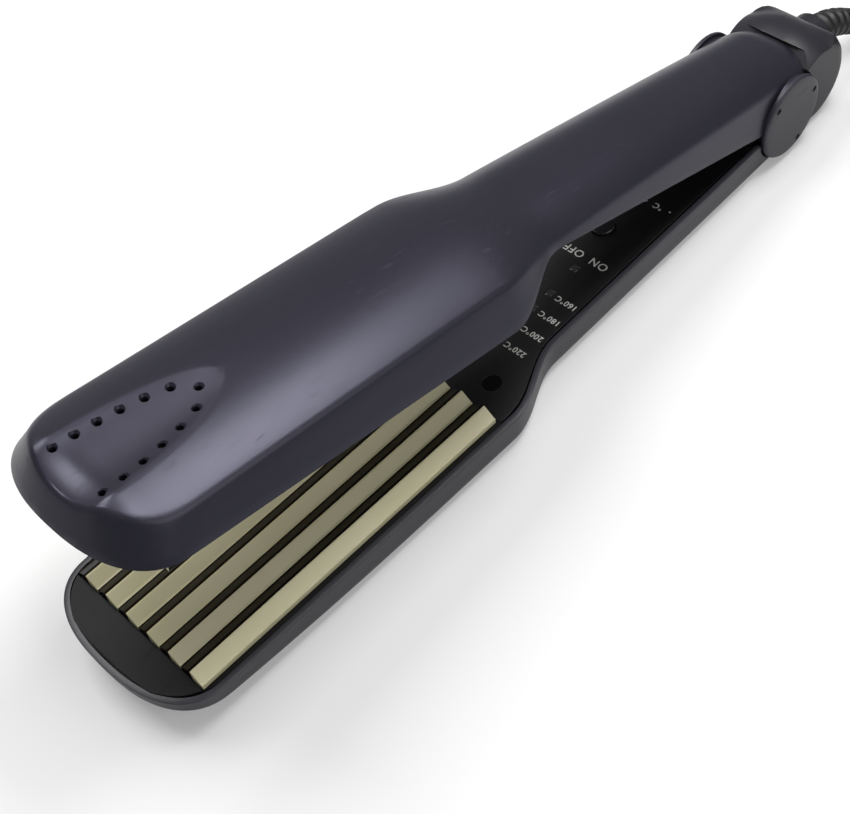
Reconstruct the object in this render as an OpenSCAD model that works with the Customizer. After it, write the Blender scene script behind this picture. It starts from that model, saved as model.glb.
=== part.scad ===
/* [Head] */
// Length of the rounded nose in plan
nose_l = 10; // [7:0.5:14]
// Distance from the nose to the plate
plate_at = 11.5; // [11.5:0.1:16]
// Width of the rim and gap on each side of the plate
side_margin = 2.9; // [2.6:0.1:5]
// Length from the plate to the shoulders
heel_l = 4; // [3:0.5:12]
// Length of each S-shaped shoulder
shoulder_l = 25.5; // [18:0.5:40]
// Height of the lower rim above the surface
lower_rim = 12; // [10:0.5:16]
// Height of the nose's underside above the surface
nose_lift = 4.8; // [0:0.2:6]
// Length of the lifted nose
ramp_l = 85; // [40:1:100]
// Radius of the lower shell's bottom edge
edge_r = 4.5; // [3:0.1:5]
// Lean of the lower shell's walls
draft = 0.6; // [0.2:0.1:1]
// Wall thickness of both shells
wall = 1.5; // [1.2:0.1:1.8]

/* [Handle] */
// Length of the handle from the shoulders to the hinge axis
handle_l = 100.2; // [80:0.2:130]
// Width of the handle just behind the shoulders
handle_w = 34; // [31:0.5:42]
// Width of the handle at the hinge
hinge_w = 28.8; // [28:0.2:33]
// Height of the handle's arch above the upper rim
arch_h = 7.1; // [4:0.1:8]
// Length over which the arch rises
arch_l = 19; // [12:0.5:24]
// Fall of the upper handle's lower edge, in mm per mm
grip_slope = 0.125; // [0.08:0.005:0.15]
// Height of the upper handle's side edge above the upper rim
grip_crease = 8.8; // [8:0.1:10]
// Height of the upper handle's top above the upper rim
grip_top = 13.9; // [12:0.1:16]
// How far the upper handle's sides lean in
grip_in = 0.8; // [0.4:0.1:1.5]

/* [Upper head] */
// Angle between the arms at rest
open_angle = 10.9; // [7:0.1:16]
// Height of the bevelled side at the nose
bevel_front = 7.6; // [6:0.2:10]
// Height of the bevelled side at the shoulders
bevel_back = 10.6; // [8:0.2:13]
// How far the bevel leans in
bevel_in = 4.2; // [2.5:0.1:4.6]
// Height of the crown above the bevel
crown = 4.8; // [3:0.2:7]
// Lean of the nose's front wall, in mm per mm
nose_rake = 0.42; // [0:0.02:0.6]
// Depth of the scoop at the nose
scoop_depth = 2.2; // [1:0.1:3]
// Length of the scoop
scoop_l = 42; // [32:1:50]
// Half width of the scoop
scoop_hw = 10.6; // [8:0.2:13]
// Vent holes on each side of the scoop
vent_n = 6; // [4:1:7]
// Diameter of a vent hole
vent_d = 2.3; // [1.5:0.1:3]
// Distance of the row of vents from the scoop's edge
vent_in = 2.3; // [1.8:0.1:4]

/* [Plates] */
// Length of a crimping plate
plate_l = 95; // [70:1:115]
// Number of ridges
ridge_n = 6; // [5:1:7]
// Pitch of the ridges
ridge_p = 7.5; // [6:0.1:9]
// Height of the ridges
ridge_h = 2.4; // [1.8:0.1:3]
// Half width of a ridge's rounded top
ridge_tip = 0.55; // [0.3:0.05:0.9]
// Height of the ridge tops above the shell's rim
plate_proud = 4; // [3.6:0.1:4.6]
// Gap between the closed plates
mesh_gap = 0.5; // [0.3:0.1:1]
// Thickness of the metal below the ridges
plate_t = 1.6; // [1.2:0.1:2]
// Thickness of the frame under a plate
frame_t = 2.7; // [2.5:0.1:3.5]
// Height of the frame's nose cap above the rim
cap_proud = 0.6; // [0.3:0.1:1]
// Thickness of the silicone pads
pad_t = 0.8; // [0.6:0.1:1.2]
// Thickness of a heater
heater_t = 1.2; // [1:0.1:1.6]
// Width of a heater
heater_w = 14; // [10:0.5:16]
// Thickness of the insulating sheet
sheet_t = 0.3; // [0.2:0.05:0.5]

/* [Hinge] */
// Height of the hinge axis above the surface
hinge_z = 14.4; // [14:0.1:17]
// Radius of the hinge caps
cap_r = 12.4; // [11:0.1:12.6]
// Thickness of a hinge cap
cap_t = 1.7; // [1.4:0.1:2.5]
// Radius of the upper arm's round rear end
rear_r = 16.8; // [16.2:0.1:18]
// Radius of the side edge of that end
cheek_r = 9.6; // [9:0.1:11]
// Angle of that end behind the hinge when the arm is open
rear_angle = 44; // [35:1:50]
// Radius of the hinge pin
pin_r = 3; // [2.5:0.1:3.4]
// Radial clearance of the turning pin
pin_gap = 0.06; // [0.03:0.01:0.1]
// Radius of the knuckle between the ears
knuckle_r = 9.2; // [8:0.1:9.5]
// Half width of the knuckle
knuckle_hw = 10.3; // [9:0.1:10.4]
// Thickness of a washer
washer_t = 1.1; // [0.8:0.1:1.2]
// Wire diameter of the opening spring
wire_d = 1.2; // [0.8:0.1:1.4]
// Turns of the opening spring
wire_turns = 4; // [3:1:4]

/* [Tail and cord] */
// Length from the hinge axis to the end of the tail
tail_l = 31.8; // [31:0.1:40]
// Radius of the round tail housing
tail_r = 14.3; // [13.5:0.1:14.3]
// Half width of the tail housing
tail_hw = 13.4; // [12.4:0.1:14]
// Distance from the hinge axis to the centre of the tail housing
tail_at = 15.3; // [15:0.1:17]
// Radius of the tail housing's rounded edges
tail_round = 4; // [2:0.1:6]
// Diameter of the cord
cord_d = 5; // [4:0.1:6]
// Diameter of the strain relief at the tail
relief_d = 10; // [9:0.1:12]
// Turns of the coiled cord
coil_turns = 9.7; // [7.7:1:11.7]
// Outer radius of the coiled cord's centre line
coil_r = 33; // [30:1:40]

/* [Controls] */
// Radius of the push buttons
button_r = 3.4; // [2.5:0.1:4]
// Height of a button above the panel
button_proud = 1; // [0.8:0.1:1.5]
// Travel of a button
button_travel = 0.5; // [0.3:0.1:0.6]
// Distance from the shoulders to the power button
power_at = 63; // [58:1:66]
// Distance from the power button to the temperature button
button_step = 26; // [16:1:28]
// Distance from the shoulders to the first lamp
lamp_at = 16.4; // [16:0.1:20]
// Pitch of the temperature lamps
lamp_p = 6.6; // [5:0.1:7]
// Temperature lamps
lamp_n = 4; // [3:1:5]
// Distance of the lamps from the centre line
lamp_y = -4.6; // [-7:0.1:7]
// Side of a lamp window
lamp_w = 2; // [1.5:0.1:3]
// Thickness of the inner covers
panel_t = 1.6; // [1.2:0.1:1.8]
// Depth of the inner covers below the shell's rim
panel_drop = 0.3; // [0.2:0.1:0.6]

/* [Fits] */
// Clearance round a piece that is dropped into another
fit_gap = 0.15; // [0.1:0.05:0.3]
// Gap between walls that pass each other
run_gap = 0.6; // [0.4:0.1:0.8]
// Diameter of the small screws
screw_d = 2.6; // [2:0.1:3]
// Diameter of the screw heads
head_d = 4.6; // [4:0.1:5]

/* [Hidden] */

$fn = 64;

// Lengths along the body, from the nose
plate_w = ridge_n * ridge_p;
head_w = plate_w + 2 * side_margin;
plate_back = plate_at + plate_l;
shoulder_at = plate_back + heel_l;
grip_at = shoulder_at + shoulder_l;
hinge_at = grip_at + handle_l;
body_l = hinge_at + tail_l;
arch_at = shoulder_at + arch_l;

// Heights
upper_rim = lower_rim + 2 * plate_proud - ridge_h + mesh_gap;
plate_back_u = ridge_h + plate_t - plate_proud;
panel_top = lower_rim - panel_drop;
panel_bottom = panel_top - panel_t;
cover_t = panel_drop + panel_t;

// Places that several pieces share
washer_w = 3.4;
boss_r = 2.8;
standoff_r = 2;
touch_gap = 0.05;
rib_hw = plate_w / 2 - 4;
frame_gap = 0.25;
lip_l = 3;
cover_at = plate_back + 1;
cover_end = hinge_at - cap_r - 1.2;
screw_at = shoulder_at + 4.7;
screw_y = 13.2;
screw_l = 7;
ear_in = knuckle_hw + washer_t + 0.2;
ear_out = hinge_w / 2 + 0.1;
ear_swing = cap_r + 0.5;
lens_z = panel_bottom - 1;
lens_proud = 0.05;
board_t = 1.6;
board_z = 4.5;
switch_t = 2.2;
plunger_t = 0.5;
button_flange = 1;
heater_at = plate_at + 10;
heater_l = plate_l - 20;
clip_t = 0.4;
clips = [for (k = [0.12, 0.5, 0.88]) heater_at + k * heater_l];
clip_hw = heater_w / 2 + 5;
pocket_hw = heater_w / 2 + 2;
pad_r = 2.2;
pad_in = 4.5;
fuse_r = 1.9;
fuse_l = 12;
bead_r = 1;
bead_l = 6;
clip_l = 10;
tongue_l = 30;
tail_screws_at = [hinge_at - tongue_l + 4, hinge_at - tongue_l + 12];
board_from = cover_at + 11;
board_hw = 11;
switch_w = 6;
stem_r = 1.6;
chip_w = 1.6;
board_to = hinge_at - tongue_l - 1;
tongue_z = 3.8;
tongue_hw = 8;
tongue_t = 5;
tail_boss_r = 3.7;
tail_head_z = 2;

// Small maths
function mix(a, b, t) = a + (b - a) * t;
function unit(t) = max(0, min(1, t));
function ease(t) = (1 - cos(180 * unit(t))) / 2;
function flat(v) = [for (row = v) each row];
function turned(v) = [for (i = [len(v) - 1:-1:0]) v[i]];
function mirrored(v) = [for (p = turned(v)) [p.x, -p.y, p.z]];

// Plan outline: a superellipse nose, straight head, S-shaped shoulders and a tapering handle
nose_power = 2 / 2.4;
nose = [for (t = [8:8:80])
  [nose_l * (1 - pow(cos(t), nose_power)), head_w / 2 * pow(sin(t), nose_power)]];
function shoulder_t(d) = ease((d - shoulder_at) / shoulder_l);
function grip_t(d) = unit((d - grip_at) / handle_l);
function side_hw(d) = mix(mix(head_w, handle_w, shoulder_t(d)), hinge_w, grip_t(d)) / 2;
function outline(ds) = concat(nose, [for (d = ds) [d, side_hw(d)]]);
function inward(p, i) =
  let (a = i == 0 ? [p[0].x, -p[0].y] : p[i - 1], b = p[min(i + 1, len(p) - 1)], t = b - a)
  [t.y, -t.x] / norm(t);
function inset(p, i, o, z, side) =
  let (q = p[i] + o * inward(p, i)) [q.x, side * q.y, z];
function inset_plan(p, o) = concat(
  [for (i = [len(p) - 1:-1:0]) let (q = inset(p, i, o, 0, -1)) [q.x, q.y]],
  [for (i = [0:len(p) - 1]) let (q = inset(p, i, o, 0, 1)) [q.x, q.y]]);

// A shell with an open rim and an open rear: rows of outer points, and the inner points behind them
module shell_mesh(outer, inner, walls, upside = false) {
  n = len(outer);
  m = len(outer[0]);
  e = m - 1;
  c = e / 2;
  function o(i, k) = i * m + k;
  function v(i, k) = n * m + i * m + k;
  function quad(q, left) = left
    ? [[q[0], q[1], q[2]], [q[0], q[2], q[3]]]
    : [[q[0], q[1], q[3]], [q[1], q[2], q[3]]];
  function front(s) = [
    for (k = [0:1:walls - 2]) each quad([s + k, s + e - k, s + e - k - 1, s + k + 1], true),
    for (j = [e - walls:-1:c + 1]) [s + e - walls + 1, s + j, s + j - 1],
    [s + walls - 1, s + e - walls + 1, s + c],
    for (j = [c:-1:walls + 1]) [s + walls - 1, s + j, s + j - 1]];
  faces = concat(
    [for (i = [0:n - 2], k = [0:m - 2])
      each quad([o(i, k), o(i, k + 1), o(i + 1, k + 1), o(i + 1, k)], k < c)],
    [for (i = [0:n - 2], k = [0:m - 2])
      each quad([v(i, k), v(i + 1, k), v(i + 1, k + 1), v(i, k + 1)], k < c)],
    [for (i = [0:n - 2]) each quad([o(i, 0), o(i + 1, 0), v(i + 1, 0), v(i, 0)], true)],
    [for (i = [0:n - 2]) each quad([v(i, e), v(i + 1, e), o(i + 1, e), o(i, e)], true)],
    quad([o(0, 0), v(0, 0), v(0, e), o(0, e)], true),
    front(0),
    [for (f = front(n * m)) turned(f)],
    [for (k = [0:m - 2])
      each quad([o(n - 1, k), o(n - 1, k + 1), v(n - 1, k + 1), v(n - 1, k)], true)]);
  polyhedron(concat(flat(outer), flat(inner)),
    upside ? [for (f = faces) turned(f)] : faces, convexity = 8);
}

// A solid through a row of rings, each the same on both sides of the centre line
module loft(rings) {
  n = len(rings);
  m = len(rings[0]);
  sides = [for (i = [0:n - 2], k = [0:m - 1]) let (j = (k + 1) % m)
    each [[i * m + k, i * m + j, (i + 1) * m + j], [i * m + k, (i + 1) * m + j, (i + 1) * m + k]]];
  strips = [for (k = [0:m / 2 - 2]) [k, k + 1, m - 2 - k, m - 1 - k]];
  caps = concat([for (q = strips) turned(q)], [for (q = strips) [for (k = q) (n - 1) * m + k]]);
  polyhedron(flat(rings), concat(sides, caps), convexity = 6);
}

// A round tube along points: one radius at each point
function along(p, i) =
  let (t = p[min(i + 1, len(p) - 1)] - p[max(i - 1, 0)]) t / norm(t);
function ring(p, i, r, sides, up) =
  let (t = along(p, i), u0 = cross(up, t), u = u0 / norm(u0), w = cross(t, u))
  [for (j = [0:sides - 1]) let (a = 360 * (j + 0.5) / sides) p[i] + r * (cos(a) * u + sin(a) * w)];
module sweep(p, radii, sides, up = [0, 0, 1]) {
  n = len(p);
  m = sides;
  sides_f = [for (i = [0:n - 2], k = [0:m - 1]) let (j = (k + 1) % m)
    each [[i * m + k, (i + 1) * m + k, (i + 1) * m + j], [i * m + k, (i + 1) * m + j, i * m + j]]];
  caps = [[for (k = [0:m - 1]) k], [for (k = [m - 1:-1:0]) (n - 1) * m + k]];
  polyhedron([for (i = [0:n - 1]) each ring(p, i, radii[i], m, up)],
    concat(sides_f, caps), convexity = 8);
}

// Frames of the two bodies: the lower arm lies on the surface, the upper arm is lifted at the hinge
module at_home() {
  translate([-body_l / 2, 0, 0]) children();
}
module lifted() {
  at_home() translate([hinge_at, 0, hinge_z]) rotate([0, open_angle, 0])
    translate([-hinge_at, 0, -hinge_z]) children();
}
module on_hinge() {
  translate([hinge_at, 0, hinge_z]) children();
}
module across(hw) {
  rotate([90, 0, 0]) linear_extrude(2 * hw, center = true) children();
}
module drum(r, h) {
  rotate([90, 0, 0]) cylinder(r = r, h = h, center = true);
}
module ring_drum(r_in, r_out, y) {
  rotate([90, 0, 0]) difference() {
    cylinder(r = r_out, h = 2 * y[1], center = true);
    cylinder(r = r_out + 1, h = 2 * y[0], center = true);
    cylinder(r = r_in, h = 2 * y[1] + 1, center = true);
  }
}

// Lower shell: rows from the left rim, under the bottom, to the right rim
function lift(d) = nose_lift * pow(max(0, 1 - d / ramp_l), 2);
lower_d = [nose_l, for (k = [1:5]) mix(nose_l, shoulder_at, k / 6),
  for (k = [0:9]) shoulder_at + k * shoulder_l / 10, for (k = [0:5]) mix(grip_at, hinge_at + 3, k / 5)];
function lower_row(p, i, o) =
  let (z = lift(p[i].x) + o, r = edge_r - o,
    half = concat([inset(p, i, o, lower_rim, -1)], [for (a = [0:18:90])
      inset(p, i, o + draft + r * (1 - cos(a)), z + r * (1 - sin(a)), -1)]))
  concat(half, [[half[6].x, 0, half[6].z]], mirrored(half));
function lower_rows(o) = let (p = outline(lower_d)) [for (i = [0:len(p) - 1]) lower_row(p, i, o)];

module boss(d, y, z, r = boss_r) {
  base = lift(d) + wall / 2;
  translate([d, y, base]) cylinder(r = r, h = z - base);
}
module lower_rib(d) {
  base = lift(d) + wall / 2;
  translate([d, -rib_hw, base]) cube([wall, 2 * rib_hw, lower_rim - frame_t - base - touch_gap]);
}
standoffs = [for (d = [board_from + 4, board_to - 4], s = [-1, 1]) [d, s * (board_hw - 2.5)]];

module lower_shell() {
  color("#5a5866") at_home() difference() {
    union() {
      shell_mesh(lower_rows(0), lower_rows(wall), 6, true);
      for (s = [-1, 1]) boss(screw_at, s * screw_y, panel_bottom - touch_gap);
      for (q = standoffs) boss(q.x, q.y, board_z - touch_gap, standoff_r);
      for (d = tail_screws_at) boss(d, 0, tongue_z - fit_gap, tail_boss_r);
      lower_rib(clips[0] - clip_l / 2 - 6);
      lower_rib(clips[2] + clip_l / 2 + 4);
    }
    on_hinge() drum(ear_swing, 2 * hinge_w);
    for (s = [-1, 1]) translate([screw_at, s * screw_y, lift(screw_at) + wall])
      cylinder(d = screw_d + 0.1, h = lower_rim);
    for (d = tail_screws_at) translate([d, 0, -1]) {
      cylinder(d = screw_d + 0.4, h = lower_rim);
      cylinder(d = head_d + 0.6, h = tail_head_z + 1);
    }
  }
}

// The slab that carries a plate, with u measured from the rim into the shell
frame_d = [nose_l, for (k = [1:4]) mix(nose_l, plate_back + 0.8, k / 4)];
function slab_ring(u, z, lean) = let (p = outline(frame_d)) concat(
  [for (i = [len(p) - 1:-1:0]) inset(p, i, wall + fit_gap + lean(p[i].x, u), z, -1)],
  [for (i = [0:len(p) - 1]) inset(p, i, wall + fit_gap + lean(p[i].x, u), z, 1)]);
function lower_lean(d, u) = draft * u / (lower_rim - lift(d) - edge_r) + 0.05;
function upper_lean(d, u) = bevel_in * u / bevel_h(d) + 0.05;
module frame_openings(z, s) {
  base = z + s * (plate_back_u + pad_t);
  translate([plate_at - frame_gap, -plate_w / 2 - frame_gap, min(z - 2 * s, base)])
    cube([plate_l + 2 * frame_gap, plate_w + 2 * frame_gap, 2 + plate_back_u + pad_t]);
  translate([heater_at - 2, -pocket_hw, z - 8]) cube([heater_l + 4, 2 * pocket_hw, 16]);
}
module frame_lip(z) {
  translate([plate_back - 2, -plate_w / 2 + lip_l, z])
    cube([lip_l + 3.5, plate_w - 2 * lip_l, frame_t - cover_t - 0.1]);
}

module lower_plate_frame() {
  color("#1c1c1e") at_home() {
    difference() {
      union() {
        loft([slab_ring(frame_t, lower_rim - frame_t, function(d, u) lower_lean(d, u)),
          slab_ring(0, lower_rim, function(d, u) lower_lean(d, u))]);
        nose_cap(lower_rim - 0.5, cap_proud + 0.5);
        frame_lip(lower_rim - frame_t);
      }
      frame_openings(lower_rim, -1);
    }
  }
}
module nose_cap(z, h) {
  p = outline([nose_l, plate_at - frame_gap - 0.1]);
  translate([0, 0, z]) linear_extrude(h) polygon(inset_plan(p, wall + fit_gap + 0.3));
}

// Ridge profile: valleys at the plate's edges, ridges between them
ridge_drop = ridge_h * ridge_tip / ridge_p;
ridge_line = concat(
  [for (i = [0:ridge_n - 1]) let (y = i * ridge_p - plate_w / 2) each [
    if (i > 0) [y - ridge_tip, ridge_drop], [y, 0], [y + ridge_tip, ridge_drop],
    [y + ridge_p / 2 - ridge_tip, ridge_h - ridge_drop], [y + ridge_p / 2, ridge_h],
    [y + ridge_p / 2 + ridge_tip, ridge_h - ridge_drop]]],
  [[plate_w / 2 - ridge_tip, ridge_drop], [plate_w / 2, 0]]);
module along_plate(d, l) {
  translate([d, 0, 0]) rotate([90, 0, 90]) linear_extrude(l) children();
}

module lower_plate() {
  top = lower_rim + plate_proud - ridge_h;
  color("#b4b094") at_home() along_plate(plate_at, plate_l) polygon(concat(
    [for (p = ridge_line) p + [0, top]],
    [[plate_w / 2, top - plate_t], [-plate_w / 2, top - plate_t]]));
}

// Pieces behind a plate: z is the plate's back, s points into the shell
module heater(z, s) {
  translate([heater_at, -heater_w / 2, min(z, z + s * heater_t)]) cube([heater_l, heater_w, heater_t]);
}
module insulator(z, s) {
  u = z + s * heater_t;
  translate([heater_at - 1, -heater_w / 2 - 1, min(u, u + s * sheet_t)])
    cube([heater_l + 2, heater_w + 2, sheet_t]);
}
module heater_clip(z, s) {
  low = heater_t + sheet_t;
  high = frame_t - plate_back_u + 0.05;
  line = [[-clip_hw, high], [-pocket_hw + 0.6, high], [-heater_w / 4, low], [heater_w / 4, low],
    [pocket_hw - 0.6, high], [clip_hw, high]];
  for (d = clips) along_plate(d - clip_l / 2, clip_l)
    polygon([for (p = line) [p.x, z + s * p.y], for (p = turned(line)) [p.x, z + s * (p.y + clip_t)]]);
}
module plate_pads(z, s) {
  for (d = [plate_at + pad_in, plate_back - pad_in], y = [-1, 1] * (plate_w / 2 - pad_in))
    translate([d, y, min(z, z + s * pad_t)]) cylinder(r = pad_r, h = pad_t);
}
module thermal_fuse(z, s, d) {
  u = heater_t + sheet_t + clip_t + fuse_r + 0.1;
  translate([d - fuse_l / 2, 0, z + s * u]) rotate([0, 90, 0]) cylinder(r = fuse_r, h = fuse_l);
}
lower_u = lower_rim - plate_back_u;
upper_u = upper_rim + plate_back_u;
fuse_at = heater_at + heater_l / 2;

module lower_heater() {
  color("#e8e4da") at_home() heater(lower_u, -1);
}
module lower_insulator() {
  color("#c98f3c") at_home() insulator(lower_u, -1);
}
module lower_heater_clip() {
  color("#a8adb2") at_home() heater_clip(lower_u, -1);
}
module lower_plate_pads() {
  color("#b5432f") at_home() plate_pads(lower_u, -1);
}
module lower_thermal_fuse() {
  color("#ded9c8") at_home() thermal_fuse(lower_u, -1, fuse_at);
}
module temperature_sensor() {
  z = lower_u - heater_t - sheet_t - bead_r - 0.1;
  color("#3a2a20") at_home() translate([heater_at + 0.3 * heater_l, 0, z])
    rotate([0, 90, 0]) cylinder(r = bead_r, h = bead_l, center = true);
}

// Inner cover of the lower handle, with lamp windows, button holes and screw recesses
lamps = [for (k = [0:lamp_n - 1]) [shoulder_at + lamp_at + k * lamp_p, lamp_y],
  [shoulder_at + lamp_at + lamp_n * lamp_p + 4, lamp_y + 0.5]];
buttons = [shoulder_at + power_at, shoulder_at + power_at + button_step];
module lower_inner_cover() {
  n = 6;
  ds = [cover_at, for (k = [0:n]) shoulder_at + k * shoulder_l / n, mix(grip_at, cover_end, 0.5), cover_end];
  p = [for (d = ds) [d, side_hw(d)]];
  color("#101012") at_home() difference() {
    translate([0, 0, panel_bottom]) linear_extrude(panel_t) polygon(concat(
      [for (i = [len(p) - 1:-1:0]) [p[i].x, -p[i].y + wall + draft + fit_gap]],
      [for (q = p) [q.x, q.y - wall - draft - fit_gap]]));
    for (q = lamps) translate([q.x, q.y, panel_top])
      cube([lamp_w + 0.2, lamp_w + 0.2, 4 * panel_t], center = true);
    for (d = buttons) translate([d, 0, 0]) cylinder(r = button_r + 0.2, h = 2 * lower_rim);
    for (s = [-1, 1]) translate([screw_at, s * screw_y, 0]) {
      cylinder(d = screw_d + 0.4, h = 2 * lower_rim);
      translate([0, 0, panel_top - panel_t / 2]) cylinder(d = head_d + 0.4, h = lower_rim);
    }
  }
}
module lamp_lenses() {
  color("#d8d4c8") at_home() for (q = lamps)
    translate([q.x - lamp_w / 2, q.y - lamp_w / 2, lens_z])
      cube([lamp_w, lamp_w, panel_top + lens_proud - lens_z]);
}
module circuit_board() {
  top = board_z + board_t;
  color("#1f5c3a") at_home() {
    translate([board_from, -board_hw, board_z]) cube([board_to - board_from, 2 * board_hw, board_t]);
    for (d = buttons) translate([d, 0, top]) {
      translate([-switch_w / 2, -switch_w / 2, 0]) cube([switch_w, switch_w, switch_t]);
      cylinder(r = stem_r, h = switch_t + plunger_t);
    }
    for (q = lamps) translate([q.x - chip_w / 2, q.y - chip_w / 2, top])
      cube([chip_w, chip_w, lens_z - 0.2 - top]);
  }
}
module push_button(d) {
  bottom = board_z + board_t + switch_t + plunger_t + button_travel + 0.1;
  translate([d, 0, bottom]) {
    cylinder(r = button_r, h = panel_top + button_proud - bottom);
    cylinder(r = button_r + 1, h = panel_bottom - 0.1 - bottom);
  }
}
module power_button() {
  color("#2a2a2e") at_home() push_button(buttons[0]);
}
module temperature_button() {
  color("#2a2a2e") at_home() push_button(buttons[1]);
}

// A pan-head screw whose head starts at z and whose shank points down
module screw(l) {
  cylinder(d = head_d, h = panel_t / 2 - 0.1);
  translate([0, 0, -l]) cylinder(d = screw_d, h = l + 0.1);
}
module lower_screws() {
  color("#3c3c40") at_home() for (s = [-1, 1])
    translate([screw_at, s * screw_y, panel_top - panel_t / 2]) screw(screw_l);
}
module tail_screws() {
  color("#7c8086") at_home() for (d = tail_screws_at)
    translate([d, 0, tail_head_z]) rotate([180, 0, 0]) screw(screw_l);
}

// Upper shell: heights in the closed position
function bevel_h(d) = mix(bevel_front, bevel_back, unit((d - plate_at) / plate_l));
function crease_z(d) = mix(upper_rim + bevel_h(d),
  mix(upper_rim + grip_crease, hinge_z + cheek_r, pow(grip_t(d), 1.6)), shoulder_t(d));
function apex_z(d) = mix(upper_rim + bevel_h(d) + crown,
  mix(upper_rim + grip_top, hinge_z + rear_r, pow(grip_t(d), 1.6)), shoulder_t(d));
function crown_h(d) = apex_z(d) - crease_z(d);
function crease_in(d) = mix(bevel_in, grip_in, shoulder_t(d));
function arch_z(d) = upper_rim + arch_h * ease((d - shoulder_at) / arch_l) - grip_slope * max(0, d - arch_at);
function edge_z(d) = mix(arch_z(d), hinge_z + 4, unit((d - hinge_at + cap_r - 1) / (cap_r - 1)));
scoop_at = 3.5;
scoop_end = scoop_at + scoop_l;
function scoop_w(d) = max(0.2, sqrt(max(0, 1 - pow(max(0, d - scoop_at) / scoop_l, 2)))) * scoop_hw;
function scoop(d, y) = scoop_depth
  * max(0, 1 - pow(max(0, d - scoop_at) / scoop_l, 2) - pow(y / scoop_hw, 2));
function front_round(d) = 2 * pow(max(0, 1 - (d - bevel_in) / 5), 2);
function top_z(d, y) = crease_z(d) + crown_h(d) * (1 - pow(y / (side_hw(d) - crease_in(d)), 2))
  - scoop(d, y) - front_round(d);
function raked(q) = [q.x + nose_rake * (q.z - upper_rim) * max(0, 1 - q.x / 25), q.y, q.z];
upper_d = [nose_l, for (k = [1:6]) mix(nose_l, scoop_end, k / 6),
  for (k = [1:2]) mix(scoop_end, shoulder_at, k / 3),
  for (k = [0:11]) shoulder_at + k * shoulder_l / 12,
  for (k = [0:5]) mix(grip_at, hinge_at - cap_r + 1, k / 5),
  hinge_at - cap_r / 2, hinge_at];
function upper_row(p, i, o) =
  let (c = inset(p, i, crease_in(p[i].x) + o, 0, 1),
    w = min(scoop_w(c.x), 0.6 * c.y),
    half = concat([raked(inset(p, i, o, edge_z(p[i].x), -1))],
      [for (y = [c.y, mix(c.y, w, 1 / 3), mix(c.y, w, 2 / 3), w, w / 2])
        raked([c.x, -y, max(top_z(c.x, y) - o, edge_z(p[i].x) + 0.3)])]))
  concat(half, [raked([c.x, 0, top_z(c.x, 0) - o])], mirrored(half));
function rear_row(row, a) = [for (q = row)
  [hinge_at + (q.z - hinge_z) * sin(a), q.y, hinge_z + (q.z - hinge_z) * cos(a)]];
function upper_rows(o) =
  let (p = outline(upper_d), rows = [for (i = [0:len(p) - 1]) upper_row(p, i, o)],
    last = rows[len(rows) - 1])
  concat(rows, [for (k = [1:4]) rear_row(last, k / 4 * (rear_angle - open_angle))]);
function inner_hw(d, z) =
  let (zc = crease_z(d) - wall, yc = side_hw(d) - crease_in(d) - wall)
  z < zc ? mix(side_hw(d) - wall, yc, unit((z - edge_z(d)) / (zc - edge_z(d))))
    : yc * sqrt(max(0.01, 1 - (z - zc) / crown_h(d)));

// Vents on a half ellipse inside the scoop's edge, with one at its tip
vent_l = scoop_l - 2.5 * vent_in;
vents = [for (k = [0:vent_n - 1], s = [-1, 1]) let (t = (k + 1) / (vent_n + 1))
    [scoop_at + vent_l * t, s * (scoop_hw - vent_in) * sqrt(1 - t * t)],
  [scoop_at + vent_l, 0]];

module upper_boss(d, y, z) {
  translate([d, y, z]) cylinder(r = boss_r, h = top_z(d, y) - wall / 2 - z);
}
module upper_rib(d) {
  hw = head_w / 2 - bevel_in - 5;
  base = upper_rim + frame_t + 0.05;
  along_plate(d, wall) polygon(concat([[hw, base], [-hw, base]],
    [for (k = [-4:4]) [k / 4 * hw, top_z(d, k / 4 * hw) - wall / 2]]));
}
module upper_shell() {
  color("#3b3946") lifted() difference() {
    union() {
      shell_mesh(upper_rows(0), upper_rows(wall), 1);
      on_hinge() ring_drum(pin_r + 0.02, cap_r, [ear_in, ear_out]);
      for (s = [-1, 1]) upper_boss(screw_at, s * screw_y, edge_z(screw_at + boss_r) + cover_t + 0.1);
      upper_rib(clips[0] - clip_l / 2 - 2);
      upper_rib(clips[2] + clip_l / 2 + 4);
    }
    for (q = vents) translate([q.x, q.y, top_z(q.x, q.y) - 2 * wall])
      cylinder(d = vent_d, h = 4 * wall);
    for (s = [-1, 1]) translate([screw_at, s * screw_y, upper_rim])
      cylinder(d = screw_d + 0.1, h = edge_z(screw_at) + 8 - upper_rim);
    on_hinge() drum(pin_r + 0.02, 3 * hinge_w);
    on_hinge() ring_drum(1, cap_r + fit_gap, [ear_out, hinge_w]);
  }
}
module upper_plate_frame() {
  color("#1c1c1e") lifted() difference() {
    union() {
      loft([for (u = [0, frame_t])
        [for (q = slab_ring(u, upper_rim + u, function(d, u) upper_lean(d, u))) raked(q)]]);
      nose_cap(upper_rim - cap_proud, cap_proud + 0.2);
      frame_lip(upper_rim + cover_t + 0.1);
    }
    frame_openings(upper_rim, 1);
  }
}
module upper_plate() {
  low = upper_rim - plate_proud;
  color("#b4b094") lifted() along_plate(plate_at, plate_l) polygon(concat(
    [for (p = ridge_line) p + [0, low]],
    [[plate_w / 2, low + ridge_h + plate_t], [-plate_w / 2, low + ridge_h + plate_t]]));
}
module upper_heater() {
  color("#e8e4da") lifted() heater(upper_u, 1);
}
module upper_insulator() {
  color("#c98f3c") lifted() insulator(upper_u, 1);
}
module upper_heater_clip() {
  color("#a8adb2") lifted() heater_clip(upper_u, 1);
}
module upper_plate_pads() {
  color("#b5432f") lifted() plate_pads(upper_u, 1);
}
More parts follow.
